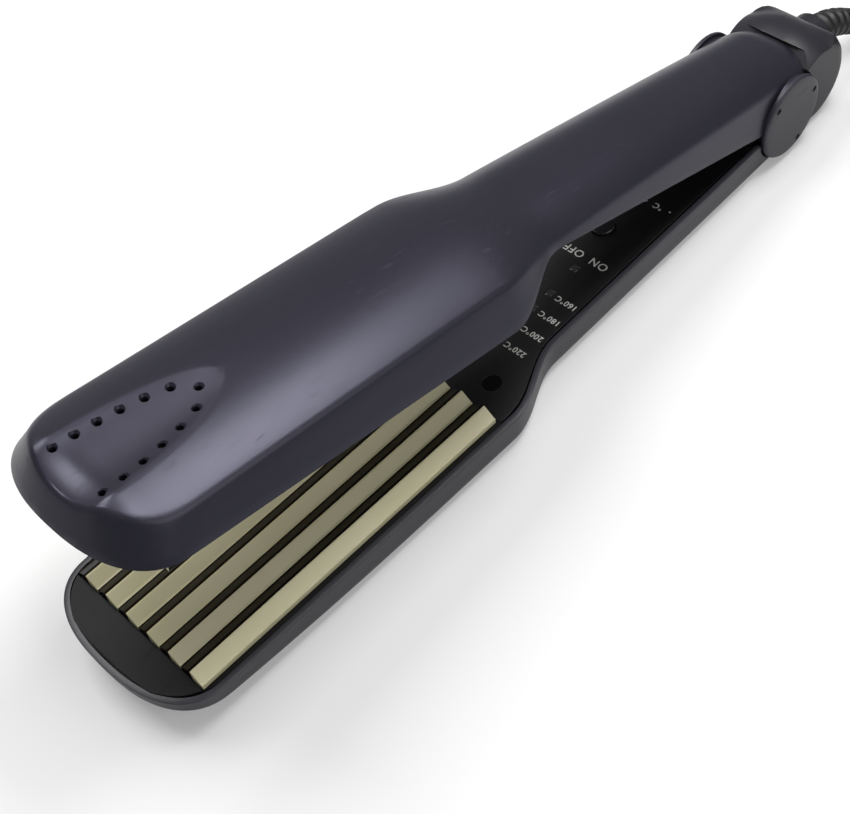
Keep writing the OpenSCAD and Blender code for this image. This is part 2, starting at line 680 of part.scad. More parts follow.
module upper_thermal_fuse() {
  color("#ded9c8") lifted() thermal_fuse(upper_u, 1, fuse_at);
}

// Inner cover of the upper handle: it follows the arch and the handle's lower edge
module upper_inner_cover() {
  ds = [cover_at, for (k = [0:8]) shoulder_at + k * arch_l / 8,
    for (k = [1:4]) mix(arch_at, grip_at, k / 4), for (k = [1:4]) mix(grip_at, cover_end, k / 4)];
  g = fit_gap + 0.15;
  color("#141416") lifted() difference() {
    loft([for (d = ds) let (z = edge_z(d) + panel_drop, t = z + panel_t,
        a = inner_hw(d, z) - g, b = inner_hw(d, t) - g)
      [[d, -a, z], [d, -b, t], [d, b, t], [d, a, z]]]);
    for (s = [-1, 1]) translate([screw_at, s * screw_y, upper_rim - 2]) {
      cylinder(d = screw_d + 0.4, h = 9);
      cylinder(d = head_d + 0.4, h = edge_z(screw_at) + panel_drop + panel_t / 2 - upper_rim + 2);
    }
  }
}
module upper_screws() {
  color("#3c3c40") lifted() for (s = [-1, 1])
    translate([screw_at, s * screw_y, edge_z(screw_at) + panel_drop + panel_t / 2])
      rotate([180, 0, 0]) screw(screw_l - 0.5);
}

// Hinge: pin through two ears and the knuckle, washers between, caps over the ends
module hinge_pin() {
  color("#b9bcc0") at_home() on_hinge() drum(pin_r, 2 * ear_out);
}
cap_marks = [-70, 22, 136];
module hinge_cap() {
  difference() {
    rotate_extrude() polygon([[0, 0], [cap_r, 0], [cap_r, 0.5 * cap_t], [cap_r - 0.3, 0.75 * cap_t],
      [cap_r - 1, 0.88 * cap_t], [cap_r - 3, 0.95 * cap_t], [0, cap_t]]);
    for (a = cap_marks) rotate([0, 0, a]) translate([cap_r - 2.2, 0, cap_t - 0.6]) cylinder(r = 0.9, h = 2);
  }
}
module hinge_cap_left() {
  color("#45434f") lifted() on_hinge() translate([0, -ear_out, 0]) rotate([90, -open_angle, 0]) hinge_cap();
}
module hinge_cap_right() {
  color("#45434f") lifted() on_hinge() translate([0, ear_out, 0]) rotate([-90, -open_angle, 0]) hinge_cap();
}
module hinge_washers() {
  color("#e9e9e4") at_home() on_hinge()
    ring_drum(pin_r + pin_gap, pin_r + washer_w, [knuckle_hw + 0.05, knuckle_hw + 0.05 + washer_t]);
}

// Torsion spring round the pin, with one leg on the knuckle and one towards the upper arm
slot_hw = 3.7;
spring_r = pin_r + 1.2 + wire_d / 2;
wire_pitch = (2 * slot_hw - wire_d - 0.8) / wire_turns;
spring_path = let (n = 8 * wire_turns, y0 = -wire_turns * wire_pitch / 2)
  concat([[-spring_r + 0.4, y0, -7], [-spring_r, y0, -4], [-spring_r, y0, -2]],
    [for (i = [0:n]) let (a = 180 + 45 * i) [spring_r * cos(a), y0 + i * wire_pitch / 8, spring_r * sin(a)]],
    [[-spring_r, -y0, 2], [-spring_r - 0.5, -y0, 6], [-spring_r - 2, -y0, 10]]);
module opening_spring() {
  color("#9ea2a6") at_home() on_hinge()
    sweep(spring_path, [for (p = spring_path) wire_d / 2], 6, [0, 1, 0]);
}

// Tail housing: knuckle, round body behind the hinge, collar and the tongue into the lower shell
tail_z = tail_r;
collar_z = tail_z + 1.1;
swing_gap_angle = 1.6;
module tail_drum() {
  arc = [for (a = [0:22.5:90]) [tail_r - tail_round * (1 - cos(a)), tail_hw - tail_round * (1 - sin(a))]];
  rotate([90, 0, 0]) rotate_extrude() polygon(concat([[0, -tail_hw]],
    [for (q = turned(arc)) [q.x, -q.y]], arc, [[0, tail_hw]]));
}
module tail_housing() {
  s = rear_angle + swing_gap_angle;
  w = 3 * rear_r;
  color("#4a4855") at_home() difference() {
    union() {
      difference() {
        union() {
          translate([hinge_at + tail_at, 0, tail_z]) tail_drum();
          translate([body_l - 8, 0, collar_z]) rotate([0, 90, 0]) cylinder(r = relief_d / 2 + 1.6, h = 8);
        }
        on_hinge() intersection() {
          drum(rear_r + run_gap, 4 * tail_hw);
          across(2 * tail_hw) polygon([[0, 0], [-w, 0], [-w, w], [w * sin(s), w * cos(s)]]);
        }
        on_hinge() ring_drum(1, ear_swing, [ear_in - 0.15, 2 * tail_hw]);
        on_hinge() ring_drum(1, pin_r + washer_w + run_gap, [knuckle_hw, ear_in]);
      }
      on_hinge() drum(knuckle_r, 2 * knuckle_hw);
      translate([hinge_at - tongue_l, -tongue_hw, tongue_z]) cube([tongue_l - 2, 2 * tongue_hw, tongue_t]);
    }
    on_hinge() drum(pin_r + pin_gap, 6 * tail_hw);
    on_hinge() {
      drum(spring_r + wire_d / 2 + 0.4, 2 * slot_hw);
      translate([-20, -slot_hw, -7.7]) cube([20 - spring_r + wire_d + 0.4, 2 * slot_hw, 20]);
    }
    translate([body_l - 10, 0, collar_z]) rotate([0, 90, 0]) cylinder(r = relief_d / 2 + fit_gap, h = 20);
    for (d = tail_screws_at) translate([d, 0, 0]) cylinder(d = screw_d + 0.1, h = 2 * lower_rim);
  }
}

// Cord: hand-placed points behind the tail, then a coil in layers, then the run to the plug on top of it
cord_z = cord_d / 2 + 0.1;
relief_pts = [[-9.8, 0, 15.4], [-4, 0, 15.4], [0, 0, 15.4], [6, -0.3, 14.8], [12, -1.2, 12.6],
  [18, -2.6, 9.6], [24, -3.8, 6.8], [31, -4.3, 4.7]];
cord_pts = [[31, -4.3, 4.7], [33.8, -4.5, 3.86], [38.6, -2.6, 2.9]];
coil_c = [66, -25];
coil_a = 115;
coil_layers = 4;
coil_step = cord_d + 0.5;
coil_rise = cord_d + 0.6;
coil_lead = cord_d;
coil_n = round(24 * coil_turns);
function total(v, i = 0) = i == len(v) ? 0 : v[i] + total(v, i + 1);
function coil_angle(s) = coil_a - 360 * s;
function coil_heading(s) = [sin(coil_angle(s)), -cos(coil_angle(s)), 0];
function coil_point(s) =
  let (h = coil_turns / coil_layers, k = min(coil_layers - 1, floor(s / h)), u = s - k * h,
    r = coil_r - coil_step * (k % 2 == 0 ? u : h - u),
    z = cord_z + coil_rise * total([for (b = [1:coil_layers - 1]) ease((s - b * h + 0.25) / 0.5)]))
  [coil_c.x + r * cos(coil_angle(s)), coil_c.y + r * sin(coil_angle(s)), z];
coil_in = coil_point(0) - coil_lead * coil_heading(0);
coil_out = coil_point(coil_turns) + coil_lead * coil_heading(coil_turns);
coil_path = concat([coil_in], [for (i = [0:coil_n]) coil_point(coil_turns * i / coil_n)], [coil_out]);
end_pts = [[33.2, -34, 20.4], [33, -27.5, 22.2], [35, -18.4, 24.8], [40.7, -11, 27.2], [47.1, -7.3, 28.5],
  [54.5, -6, 28.7], [60, -6, 28.7]];
relief_n = len(relief_pts);
module at_tail() {
  at_home() translate([body_l, 0, 0]) children();
}
module strain_relief() {
  taper = [relief_d / 2 - 0.4, cord_d / 2 + 0.4];
  color("#1e1e20") at_tail() sweep(relief_pts, [for (i = [0:relief_n - 1])
    i < 3 ? relief_d / 2 : mix(taper[0], taper[1], (i - 3) / (relief_n - 4))], 16);
}
module mains_cord() {
  p = concat(cord_pts, [coil_in - 0.8 * coil_lead * coil_heading(0), coil_in]);
  color("#222224") at_tail() sweep(p, [for (q = p) cord_d / 2], 10);
}
module cord_coil() {
  color("#222224") at_tail() sweep(coil_path, [for (q = coil_path) cord_d / 2], 6);
}
module cord_end() {
  p = concat([coil_out, coil_out + 0.8 * coil_lead * coil_heading(coil_turns)], end_pts);
  color("#222224") at_tail() sweep(p, [for (q = p) cord_d / 2], 10);
}

// Least gap between turns of the coil, at points more than half a turn apart
coil_gap = min([for (i = [0:2:len(coil_path) - 14], j = [i + 12:len(coil_path) - 1])
  norm(coil_path[i] - coil_path[j])]) - cord_d;
function run(p) = [for (i = [1:len(p) - 1]) norm(p[i] - p[i - 1])];
echo(coil_gap = coil_gap, coil_length = total(run(coil_path)));

// Flat two-pin plug: a body that narrows towards the cord, and two round pins
plug_l = 34;
plug_w = 26;
plug_t = 13.4;
pin_pitch = 18.6;
module at_plug() {
  at_tail() translate(end_pts[len(end_pts) - 1]) children();
}
module plug_body() {
  color("#222224") at_plug() hull() {
    rotate([0, 90, 0]) cylinder(r = cord_d / 2 + 1.6, h = 2, $fn = 32);
    for (y = [-1, 1] * (plug_w / 2 - plug_t / 2 + 1)) {
      translate([14, y, 0]) rotate([0, 90, 0]) cylinder(r = plug_t / 2 - 0.8, h = 1, $fn = 32);
      translate([plug_l - 9, y, 0]) rotate([0, 90, 0]) cylinder(r = plug_t / 2, h = 9, $fn = 32);
    }
  }
}
module plug_pins() {
  color("#c8cacc") at_plug() for (y = [-1, 1] * pin_pitch / 2)
    translate([plug_l, y, 0]) rotate([0, 90, 0]) cylinder(r = 2, h = 19);
}

lower_shell();
lower_plate_frame();
lower_plate();
lower_heater();
lower_insulator();
lower_heater_clip();
lower_plate_pads();
lower_thermal_fuse();
temperature_sensor();
lower_inner_cover();
circuit_board();
lamp_lenses();
power_button();
temperature_button();
lower_screws();
tail_screws();
upper_shell();
upper_plate_frame();
upper_plate();
upper_heater();
upper_insulator();
upper_heater_clip();
upper_plate_pads();
upper_thermal_fuse();
upper_inner_cover();
upper_screws();
hinge_pin();
hinge_cap_left();
hinge_cap_right();
hinge_washers();
opening_spring();
tail_housing();
strain_relief();
mains_cord();
cord_coil();
cord_end();
plug_body();
plug_pins();
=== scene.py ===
# %% [markdown]
# # A hair crimper, piece by piece
#
# The crimper has two arms on one hinge. Each arm is a thin moulded shell with a corrugated plate in its mouth,
# and the plates mesh when the arms are squeezed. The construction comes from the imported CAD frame, which is
# loaded first and never moved. Everything after that is about looks: the smooth outer shells, the plates'
# coating, the labels, the cord and its plug.

# %% Load the frame
import math

import bmesh
import bpy
from mathutils import Matrix, Vector


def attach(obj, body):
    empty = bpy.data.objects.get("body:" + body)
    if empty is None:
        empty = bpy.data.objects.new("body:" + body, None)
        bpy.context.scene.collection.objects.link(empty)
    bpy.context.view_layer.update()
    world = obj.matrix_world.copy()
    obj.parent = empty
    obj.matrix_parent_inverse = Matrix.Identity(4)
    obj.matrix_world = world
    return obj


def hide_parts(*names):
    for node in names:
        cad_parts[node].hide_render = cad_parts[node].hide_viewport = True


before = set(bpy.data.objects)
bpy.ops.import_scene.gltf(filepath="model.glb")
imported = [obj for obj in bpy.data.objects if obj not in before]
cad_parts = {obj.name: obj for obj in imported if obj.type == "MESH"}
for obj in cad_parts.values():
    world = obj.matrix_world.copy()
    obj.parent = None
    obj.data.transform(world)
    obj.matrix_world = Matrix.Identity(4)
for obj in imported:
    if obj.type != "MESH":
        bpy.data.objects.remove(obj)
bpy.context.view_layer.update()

# %% [markdown]
# Lengths are written in millimetres, as on a drawing, and turned into metres where a point is made. A distance
# `d` runs from the nose towards the cord, `y` across the width and `z` up from the table. The upper arm is
# described as if the crimper were closed and then opened about the hinge pin, as the real arm is. A name that
# ends in _AT is such a distance, _Z a height above the table, and _L, _W, _HW, _R, _H and _T are a length, a
# width, half a width, a radius, a height and a thickness.

# %% Sizes that the pieces share
MM = 0.001
SHOULDER_AT, SHOULDER_L, HANDLE_L, TAIL_L = 110.5, 25.5, 100.2, 31.8
GRIP_AT = SHOULDER_AT + SHOULDER_L
HINGE_AT = GRIP_AT + HANDLE_L
BODY_L = HINGE_AT + TAIL_L
HINGE_Z, OPEN = 14.4, math.radians(10.9)


def spot(d, y, z):
    """A point of the lower arm, in metres."""
    return Vector((d - BODY_L / 2, y, z)) * MM


def opened(d, y, z):
    """A point of the upper arm, given in the closed position."""
    run, rise = d - HINGE_AT, z - HINGE_Z
    return spot(HINGE_AT + run * math.cos(OPEN) + rise * math.sin(OPEN), y,
                HINGE_Z - run * math.sin(OPEN) + rise * math.cos(OPEN))


def mix(a, b, t):
    """The value that lies a share t of the way from a to b."""
    return a + (b - a) * t


def unit(t):
    """Keeps t between 0 and 1."""
    return max(0.0, min(1.0, t))


def ease(t):
    """Goes from 0 to 1 with a soft start and a soft end."""
    return (1 - math.cos(math.pi * unit(t))) / 2


print("hinge pin at", spot(HINGE_AT, 0, HINGE_Z))

# %% [markdown]
# The camera stands over the lower left of the crimper and looks down along it, so that the near plate looks
# wide and the hinge small. A long lens keeps that taper gentle. A new object, the camera too, only counts once
# it is linked to the scene, and one helper does both for everything that follows.

# %% Camera
def linked(name, data):
    made = bpy.data.objects.new(name, data)
    bpy.context.scene.collection.objects.link(made)
    return made


camera = linked("camera", bpy.data.cameras.new("camera"))
camera.location = Vector((-176.1, -185.2, 301.7)) * MM
camera.rotation_euler = [math.radians(a) for a in (37.828, 6.078, -45.917)]
camera.data.sensor_width = 36
camera.data.lens = 63.24
camera.data.clip_start = 0.01
bpy.context.scene.camera = camera
print("camera at", camera.location)

# %% [markdown]
# A mains lead is a smooth tube along one line. It leaves the tail straight, bends down inside its strain
# relief and lies on the table. The length that isn't in use is wound into a round coil of four layers close
# behind the tail, and the end of the lead climbs over the coil to the plug. The coil's turns come from a rule,
# and the other points are listed.

# %% Route of the cord
CORD_D = 5
CORD_Z = CORD_D / 2 + 0.1
RELIEF = [(-9.8, 0, 15.4), (-4, 0, 15.4), (0, 0, 15.4), (6, -0.3, 14.8), (12, -1.2, 12.6), (18, -2.6, 9.6),
          (24, -3.8, 6.8), (31, -4.3, 4.7)]
LEAD = [(33.8, -4.5, 3.86), (38.6, -2.6, 2.9)]
TO_PLUG = [(33.2, -34, 20.4), (33, -27.5, 22.2), (35, -18.4, 24.8), (40.7, -11, 27.2), (47.1, -7.3, 28.5),
           (54.5, -6, 28.7), (60, -6, 28.7)]
COIL_MID, COIL_R, COIL_STEP, COIL_RISE, COIL_START = (66, -25), 33, 5.5, 5.6, 115
COIL_TURNS, COIL_LAYERS, STEPS_A_TURN, CLIMB_TURNS = 9.7, 4, 24, 0.5


def behind_tail(point):
    """A point measured from the end of the tail."""
    return spot(BODY_L + point[0], point[1], point[2])


def coil_angle(turn):
    return math.radians(COIL_START - 360 * turn)


def coil_heading(turn):
    """The way in which the lead runs at a turn."""
    return Vector((math.sin(coil_angle(turn)), -math.cos(coil_angle(turn)), 0))


def coil_point(turn):
    """A point of the coil: the layers wind inwards and outwards in turn, each one cord higher."""
    per_layer = COIL_TURNS / COIL_LAYERS
    layer = min(COIL_LAYERS - 1, int(turn / per_layer))
    done = turn - layer * per_layer
    radius = COIL_R - COIL_STEP * (done if layer % 2 == 0 else per_layer - done)
    climbed = sum(ease((turn - b * per_layer + CLIMB_TURNS / 2) / CLIMB_TURNS) for b in range(1, COIL_LAYERS))
    return Vector((COIL_MID[0] + radius * math.cos(coil_angle(turn)),
                   COIL_MID[1] + radius * math.sin(coil_angle(turn)), CORD_Z + COIL_RISE * climbed))


steps = round(STEPS_A_TURN * COIL_TURNS)
coil = [coil_point(COIL_TURNS * k / steps) for k in range(steps + 1)]
coil_in = [coil[0] - coil_heading(0) * reach for reach in (1.8 * CORD_D, CORD_D)]
coil_out = [coil[-1] + coil_heading(COIL_TURNS) * reach for reach in (CORD_D, 1.8 * CORD_D)]
route = [behind_tail(point) for point in RELIEF[2:] + LEAD + coil_in + coil + coil_out + TO_PLUG]
print("points of the route:", len(route))

# %% [markdown]
# A curve with automatic handles joins the points, because it has no kinks. Its bevel is one metre deep and each
# point's radius is written in metres, so the radius means what it says.

# %% Mains lead
def tube_curve(name, roundness):
    """A curve with a round section and closed ends."""
    curve = bpy.data.curves.new(name, "CURVE")
    curve.dimensions = "3D"
    curve.bevel_depth = 1
    curve.bevel_resolution = roundness
    curve.use_fill_caps = True
    return curve


lead_curve = tube_curve("mains_lead", roundness=5)
lead_curve.resolution_u = 4
line = lead_curve.splines.new("BEZIER")
line.bezier_points.add(len(route) - 1)
for point, place in zip(line.bezier_points, route):
    point.co = place
    point.radius = CORD_D / 2 * MM
    point.handle_left_type = point.handle_right_type = "AUTO"
mains_lead = linked("mains_lead", lead_curve)
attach(mains_lead, "lower_arm")
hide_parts("mains_cord", "cord_coil", "cord_end")
print("cord:", round(line.calc_length(), 3), "m")

# %% [markdown]
# A strain relief is a soft rubber sleeve that gets thinner towards its end. Rings are cut into it, so that it
# bends in one even curve. It is made like the cord, as a tube along points, but each point has its own
# radius: thick, thin, thick, thin, with the taper on top.

# %% Strain relief
COLLAR_L, COLLAR_R, SLEEVE_L, SLEEVE_R, SLEEVE_END_R = 0.5, 5.0, 31, 4.7, 2.95
RINGS_FROM, RINGS_TO, RING_PITCH, RING_LAND, RING_DEPTH, EDGE_DEPTH = 2, 28.5, 2.9, 0.58, 0.75, 0.35


def eased_line(points, per_span):
    """Points on one smooth line through the given ones."""
    ends = [points[0] * 2 - points[1]] + points + [points[-1] * 2 - points[-2]]
    found = []
    for a, b, c, e in zip(ends, ends[1:], ends[2:], ends[3:]):
        for k in range(per_span):
            t = k / per_span
            found.append((2 * b + (c - a) * t + (2 * a - 5 * b + 4 * c - e) * t * t
                          + (3 * b - a - 3 * c + e) * t ** 3) / 2)
    return found + [points[-1]]


def relief_radius(x):
    """Half the sleeve's thickness at a distance behind the tail."""
    taper = mix(SLEEVE_R, SLEEVE_END_R, unit((x - COLLAR_L) / (SLEEVE_L - COLLAR_L)))
    in_ring = RINGS_FROM < x < RINGS_TO and (x / RING_PITCH) % 1 > RING_LAND
    at_edge = x > SLEEVE_L - 0.4 or abs(x - COLLAR_L) < 0.2
    return (COLLAR_R if x < COLLAR_L else taper) - RING_DEPTH * in_ring - EDGE_DEPTH * at_edge


sleeve_line = eased_line([Vector(point) for point in RELIEF], per_span=18)
sleeve_curve = tube_curve("ribbed_strain_relief", roundness=7)
sleeve = sleeve_curve.splines.new("POLY")
sleeve.points.add(len(sleeve_line) - 1)
for point, place in zip(sleeve.points, sleeve_line):
    point.co = (*behind_tail(place), 1)
    point.radius = relief_radius(place.x) * MM
strain_sleeve = linked("ribbed_strain_relief", sleeve_curve)
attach(strain_sleeve, "lower_arm")
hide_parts("strain_relief")
print("sleeve points:", len(sleeve_line))

# %% [markdown]
# ## Helpers for meshes
#
# The shells and the plug start as a flat grid of squares that is bent into shape, because one rule for a
# point of the grid is easier to read and to change than a long list of corners. Points that fall together at
# a nose or along a seam are merged, and the faces are then turned to point outwards.

# %% Bent grids
CRISP = 35


def shaded(data, crisp):
    """Smooth shading, apart from edges sharper than `crisp` degrees."""
    data.shade_smooth()
    data.set_sharp_from_angle(angle=math.radians(crisp))


def finished(name, mesh, crisp=CRISP):
    """Turns a bmesh into an object at the origin."""
    data = bpy.data.meshes.new(name)
    mesh.to_mesh(data)
    mesh.free()
    shaded(data, crisp)
    return linked(name, data)


def bent_grid(name, rows, columns, place):
    """A grid whose point (i, k) lies at place(i, k)."""
    mesh = bmesh.new()
    bmesh.ops.create_grid(mesh, x_segments=rows - 1, y_segments=columns - 1, size=0.5)
    for vert in mesh.verts:
        vert.co = place(round((vert.co.x + 0.5) * (rows - 1)), round((vert.co.y + 0.5) * (columns - 1)))
    bmesh.ops.remove_doubles(mesh, verts=mesh.verts, dist=2e-6)
    bmesh.ops.dissolve_degenerate(mesh, edges=mesh.edges, dist=1e-6)
    bmesh.ops.recalc_face_normals(mesh, faces=mesh.faces)
    return finished(name, mesh)


# %% [markdown]
# Modifiers then give a mesh its wall, its holes and its soft edges. Most are applied at once, so that the next
# step works on the result. A fine bevel needs normals that are weighted by face, because otherwise the broad
# flat faces beside it look swollen.

# %% Modifiers
def modified(piece, kind, **settings):
    modifier = piece.modifiers.new(kind.lower(), kind)
    for name, value in settings.items():
        setattr(modifier, name, value)


def bevelled(piece, radius, corner, segments):
    modified(piece, "BEVEL", width=radius * MM, segments=segments, limit_method="ANGLE",
             angle_limit=math.radians(corner))


def evaluated(piece):
    """A new mesh of what a piece's modifiers, or its letters, make."""
    bpy.context.view_layer.update()
    return bpy.data.meshes.new_from_object(piece.evaluated_get(bpy.context.evaluated_depsgraph_get()))


def applied(piece, crisp=None):
    """Makes the modifiers' result the piece's own mesh. Without `crisp` it keeps the modifiers' shading."""
    data = evaluated(piece)
    piece.modifiers.clear()
    piece.data = data
    if crisp:
        shaded(data, crisp)


def rounded(piece, radius, corner):
    """Gives edges sharper than `corner` degrees a fine bevel and keeps the flat faces flat to the light."""
    bevelled(piece, radius, corner, segments=2)
    modified(piece, "WEIGHTED_NORMAL", keep_sharp=True)
    applied(piece)


# %% [markdown]
# Holes and clearances are made with a boolean, which takes the shape of one mesh away from another. A finished
# piece is then told which body of the CAD model carries it and which CAD nodes it stands for.

# %% Cutting and placing
def cut(piece, cutter_mesh, operation="DIFFERENCE", crisp=CRISP):
    """Takes the cutter away from the piece, or keeps only what lies inside it."""
    cutter = finished("cutter", cutter_mesh)
    modified(piece, "BOOLEAN", object=cutter, operation=operation, solver="EXACT")
    applied(piece, crisp)
    bpy.data.objects.remove(cutter)


def placed(piece, body, slot, *nodes):
    """Makes a piece ride on a body and stand for CAD nodes."""
    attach(piece, body)
    if nodes:
        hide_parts(*nodes)
    print(piece.name, "faces:", len(piece.data.polygons))
    return piece


# %% [markdown]
# ## The plug
#
# The plug is moulded round the end of the lead. Its section grows from the cord's round to a wide oval with
# flat sides, its waist has finger grooves, and a short ribbed neck guards the cord. Lofting it from sections
# suits a shape like this better than joining boxes and cylinders, since the real one has no hard joints. Each
# section is its place along the plug, half the length of its flat side and the radius of its round ends.

# %% Plug body
PLUG_SIDES, GROOVE_DEPTH = 48, 0.5
PLUG_SECTIONS = [(-6, 0, 0), (-6, 0, 2.75), (-5.6, 0, 3.0), (-4.8, 0, 3.05), (-4.5, 0, 2.7), (-3.7, 0, 2.7),
                 (-3.4, 0, 3.3), (-2.4, 0, 3.4), (-2.1, 0, 2.9), (-1.3, 0, 2.9), (-1, 0, 3.6), (-0.3, 0, 3.8),
                 (0.4, 0, 4.1), (2, 0.1, 4.1), (4, 1.0, 4.4), (6, 2.3, 4.7), (8, 3.6, 5.0)]
PLUG_SECTIONS += [(8.4 + 0.7 * k, 3.9 + 0.24 * k, 5.1 + 0.05 * k - GROOVE_DEPTH * (k % 4 in (1, 2)))
                  for k in range(15)]
PLUG_SECTIONS += [(20, 7.3, 6.3), (25, 7.3, 6.7), (33.2, 7.3, 6.7), (33.8, 7.3, 6.4), (34, 7.3, 5.8), (34, 0, 0)]


def plug_point(i, k):
    """Point k of section i: two half circles with a flat side between them."""
    x, straight, radius = PLUG_SECTIONS[i]
    angle = 2 * math.pi * (k + 0.5) / PLUG_SIDES
    y = math.copysign(straight, math.cos(angle)) + radius * math.cos(angle)
    return behind_tail((TO_PLUG[-1][0] + x, TO_PLUG[-1][1] + y, TO_PLUG[-1][2] + radius * math.sin(angle)))


plug = bent_grid("moulded_plug", len(PLUG_SECTIONS), PLUG_SIDES + 1, plug_point)
placed(plug, "lower_arm", "plug_black", "plug_body")
tuple(behind_tail((0, 0, 15.4)))

# %% [markdown]
# ## Finishes
#
# Every finish is a small node tree, and three classes keep the trees readable. The first is `Wire`: it wraps a
# node's output, so that `1 - mask * 0.3` adds its own Math nodes.

# %% Wires
class Wire:
    """A node output that can be used in arithmetic."""

    def __init__(self, tree, socket):
        self.tree, self.socket = tree, socket

    def _math(self, operation, first, second=0.0):
        node = self.tree.nodes.new("ShaderNodeMath")
        node.operation = operation
        for slot, value in zip(node.inputs, (first, second)):
            if isinstance(value, Wire):
                self.tree.links.new(value.socket, slot)
            else:
                slot.default_value = value
        return Wire(self.tree, node.outputs[0])

    def __add__(self, other):
        return self._math("ADD", self, other)

    def __radd__(self, other):
        return self._math("ADD", other, self)

    def __sub__(self, other):
        return self._math("SUBTRACT", self, other)

    def __rsub__(self, other):
        return self._math("SUBTRACT", other, self)

    def __mul__(self, other):
        return self._math("MULTIPLY", self, other)

    def __rmul__(self, other):
        return self._math("MULTIPLY", other, self)

    def __gt__(self, other):
        return self._math("GREATER_THAN", self, other)

    def __lt__(self, other):
        return self._math("LESS_THAN", self, other)

    def fraction(self):
        return self._math("FRACT", self)

    def clipped(self):
        return self._math("MINIMUM", self._math("MAXIMUM", self, 0.0), 1.0)


# %% [markdown]
# `NodeTree` adds any other node through one method, which takes the node's type, its settings and what goes into
# its sockets. That keeps a tree of ten nodes down to a few readable lines.

# %% Node trees
class NodeTree:
    """A node tree whose nodes are all added by one method."""

    def __init__(self, tree):
        self.tree = tree

    def node(self, kind, out=0, settings=(), **inputs):
        """Adds a node: its type, its settings, then values or wires for its sockets. `in6` is socket number 6."""
        made = self.tree.nodes.new("ShaderNode" + kind)
        for name, value in dict(settings).items():
            setattr(made, name, value)
        for name, value in inputs.items():
            key = name.replace("_", " ")
            slot = made.inputs[int(key[2:])] if key.startswith("in") and key[2:].isdigit() else made.inputs[key]
            if isinstance(value, Wire):
                self.tree.links.new(value.socket, slot)
            else:
                slot.default_value = value
        return Wire(self.tree, made.outputs[out])

    def blend(self, amount, first, second):
        """One colour where amount is 0 and the other where it is 1."""
        return self.node("Mix", out=2, settings={"data_type": "RGBA"}, in0=amount, in6=first, in7=second)


# %% [markdown]
# `Finish` makes the material and links results to its shader. Plain numbers go straight into the shader's
# sockets. Patterns read the piece's own coordinates, so they stay on it when it moves.

# %% Materials
class Finish(NodeTree):
    """A material with one Principled shader. `plain` holds values that are the same all over the surface."""

    def __init__(self, name, **plain):
        self.material = bpy.data.materials.new(name)
        self.material.use_nodes = True
        super().__init__(self.material.node_tree)
        self.shader = self.tree.nodes["Principled BSDF"]
        for socket, value in plain.items():
            self.shader.inputs[socket.replace("_", " ")].default_value = value

    def place(self):
        """Object coordinates, in metres."""
        return self.node("TexCoord", out=3)

    def noise(self, scale, detail, stretch=None):
        vector = self.place()
        if stretch:
            vector = self.node("Mapping", Vector=vector, Scale=stretch)
        return self.node("TexNoise", Vector=vector, Scale=scale, Detail=detail)

    def feed(self, **links):
        for socket, wire in links.items():
            self.tree.links.new(wire.socket, self.shader.inputs[socket.replace("_", " ")])
        return self

    def bump(self, height, strength, distance):
        return self.feed(Normal=self.node("Bump", Height=height, Strength=strength, Distance=distance))


def srgb(text):
    """The linear colour of a hex code, with full alpha."""
    parts = [int(text[i:i + 2], 16) / 255 for i in (0, 2, 4)]
    return [c / 12.92 if c <= 0.04045 else ((c + 0.055) / 1.055) ** 2.4 for c in parts] + [1.0]


def toned(colour, gain):
    """A lighter or darker tone of a colour."""
    return [min(1.0, c * gain) for c in colour[:3]] + [1.0]


# %% [markdown]
# The arms are moulded in a dark plum-grey plastic with a fine satin grain. A very fine noise moves the roughness
# and the bump, a large soft noise shifts the tone by a few per cent, and faint lengthwise hairlines are rougher.
# The upper arm has a metallic sheen, which is part of its colour and not a coat of its own.

# %% Moulded plastics
def moulded(name, colour, roughness, coat=0.25, grain=0.35, wear=0.10, flake=0.0, gloss=0.5):
    """A plastic: `wear` roughens its hairlines, `flake` is its metallic share and `gloss` its specular level."""
    finish = Finish(name, Coat_Roughness=0.22, Specular_IOR_Level=gloss, Metallic=flake)
    cloud = finish.noise(scale=28, detail=2)
    speck = finish.noise(scale=5200, detail=2)
    hairline = finish.noise(scale=900, detail=4, stretch=(0.05, 1, 1))
    base = srgb(colour)
    finish.feed(Base_Color=finish.blend(cloud, toned(base, 0.86), toned(base, 1.14)),
                Roughness=roughness + (speck - 0.5) * 0.10 + (hairline > 0.66) * wear,
                Coat_Weight=coat - (hairline > 0.70) * (coat * 0.4))
    return finish.bump(speck, strength=grain, distance=0.00006).material


arm_top = moulded("plum_sheen", "35343F", 0.33, coat=0.05, flake=0.55, gloss=0.25)
arm_bottom = moulded("plum_shell", "302F36", 0.40, coat=0.06, gloss=0.35)
tail_plastic = moulded("plum_tail", "232228", 0.42, coat=0.04, gloss=0.3)
cap_plastic = moulded("plum_cap", "2D2B34", 0.42, coat=0.05, gloss=0.35)
frame_plastic = moulded("black_frame", "101012", 0.55, coat=0.0, grain=0.3, gloss=0.2)
cover_plastic = moulded("black_cover", "121214", 0.38, coat=0.2, grain=0.5)
key_plastic = moulded("black_key", "1C1C1F", 0.30, coat=0.3, grain=0.2)
lens_plastic = moulded("lamp_window", "3C3B3A", 0.16, coat=0.8, grain=0.05, wear=0.02)
washer_plastic = moulded("white_washer", "E4E4DE", 0.35, coat=0.1)
plug_rubber = moulded("plug_rubber", "1B1B1D", 0.55, coat=0.05, grain=0.6)
cord_rubber = moulded("cord_rubber", "161618", 0.50, coat=0.05, grain=0.5)
print("materials so far:", len(bpy.data.materials))
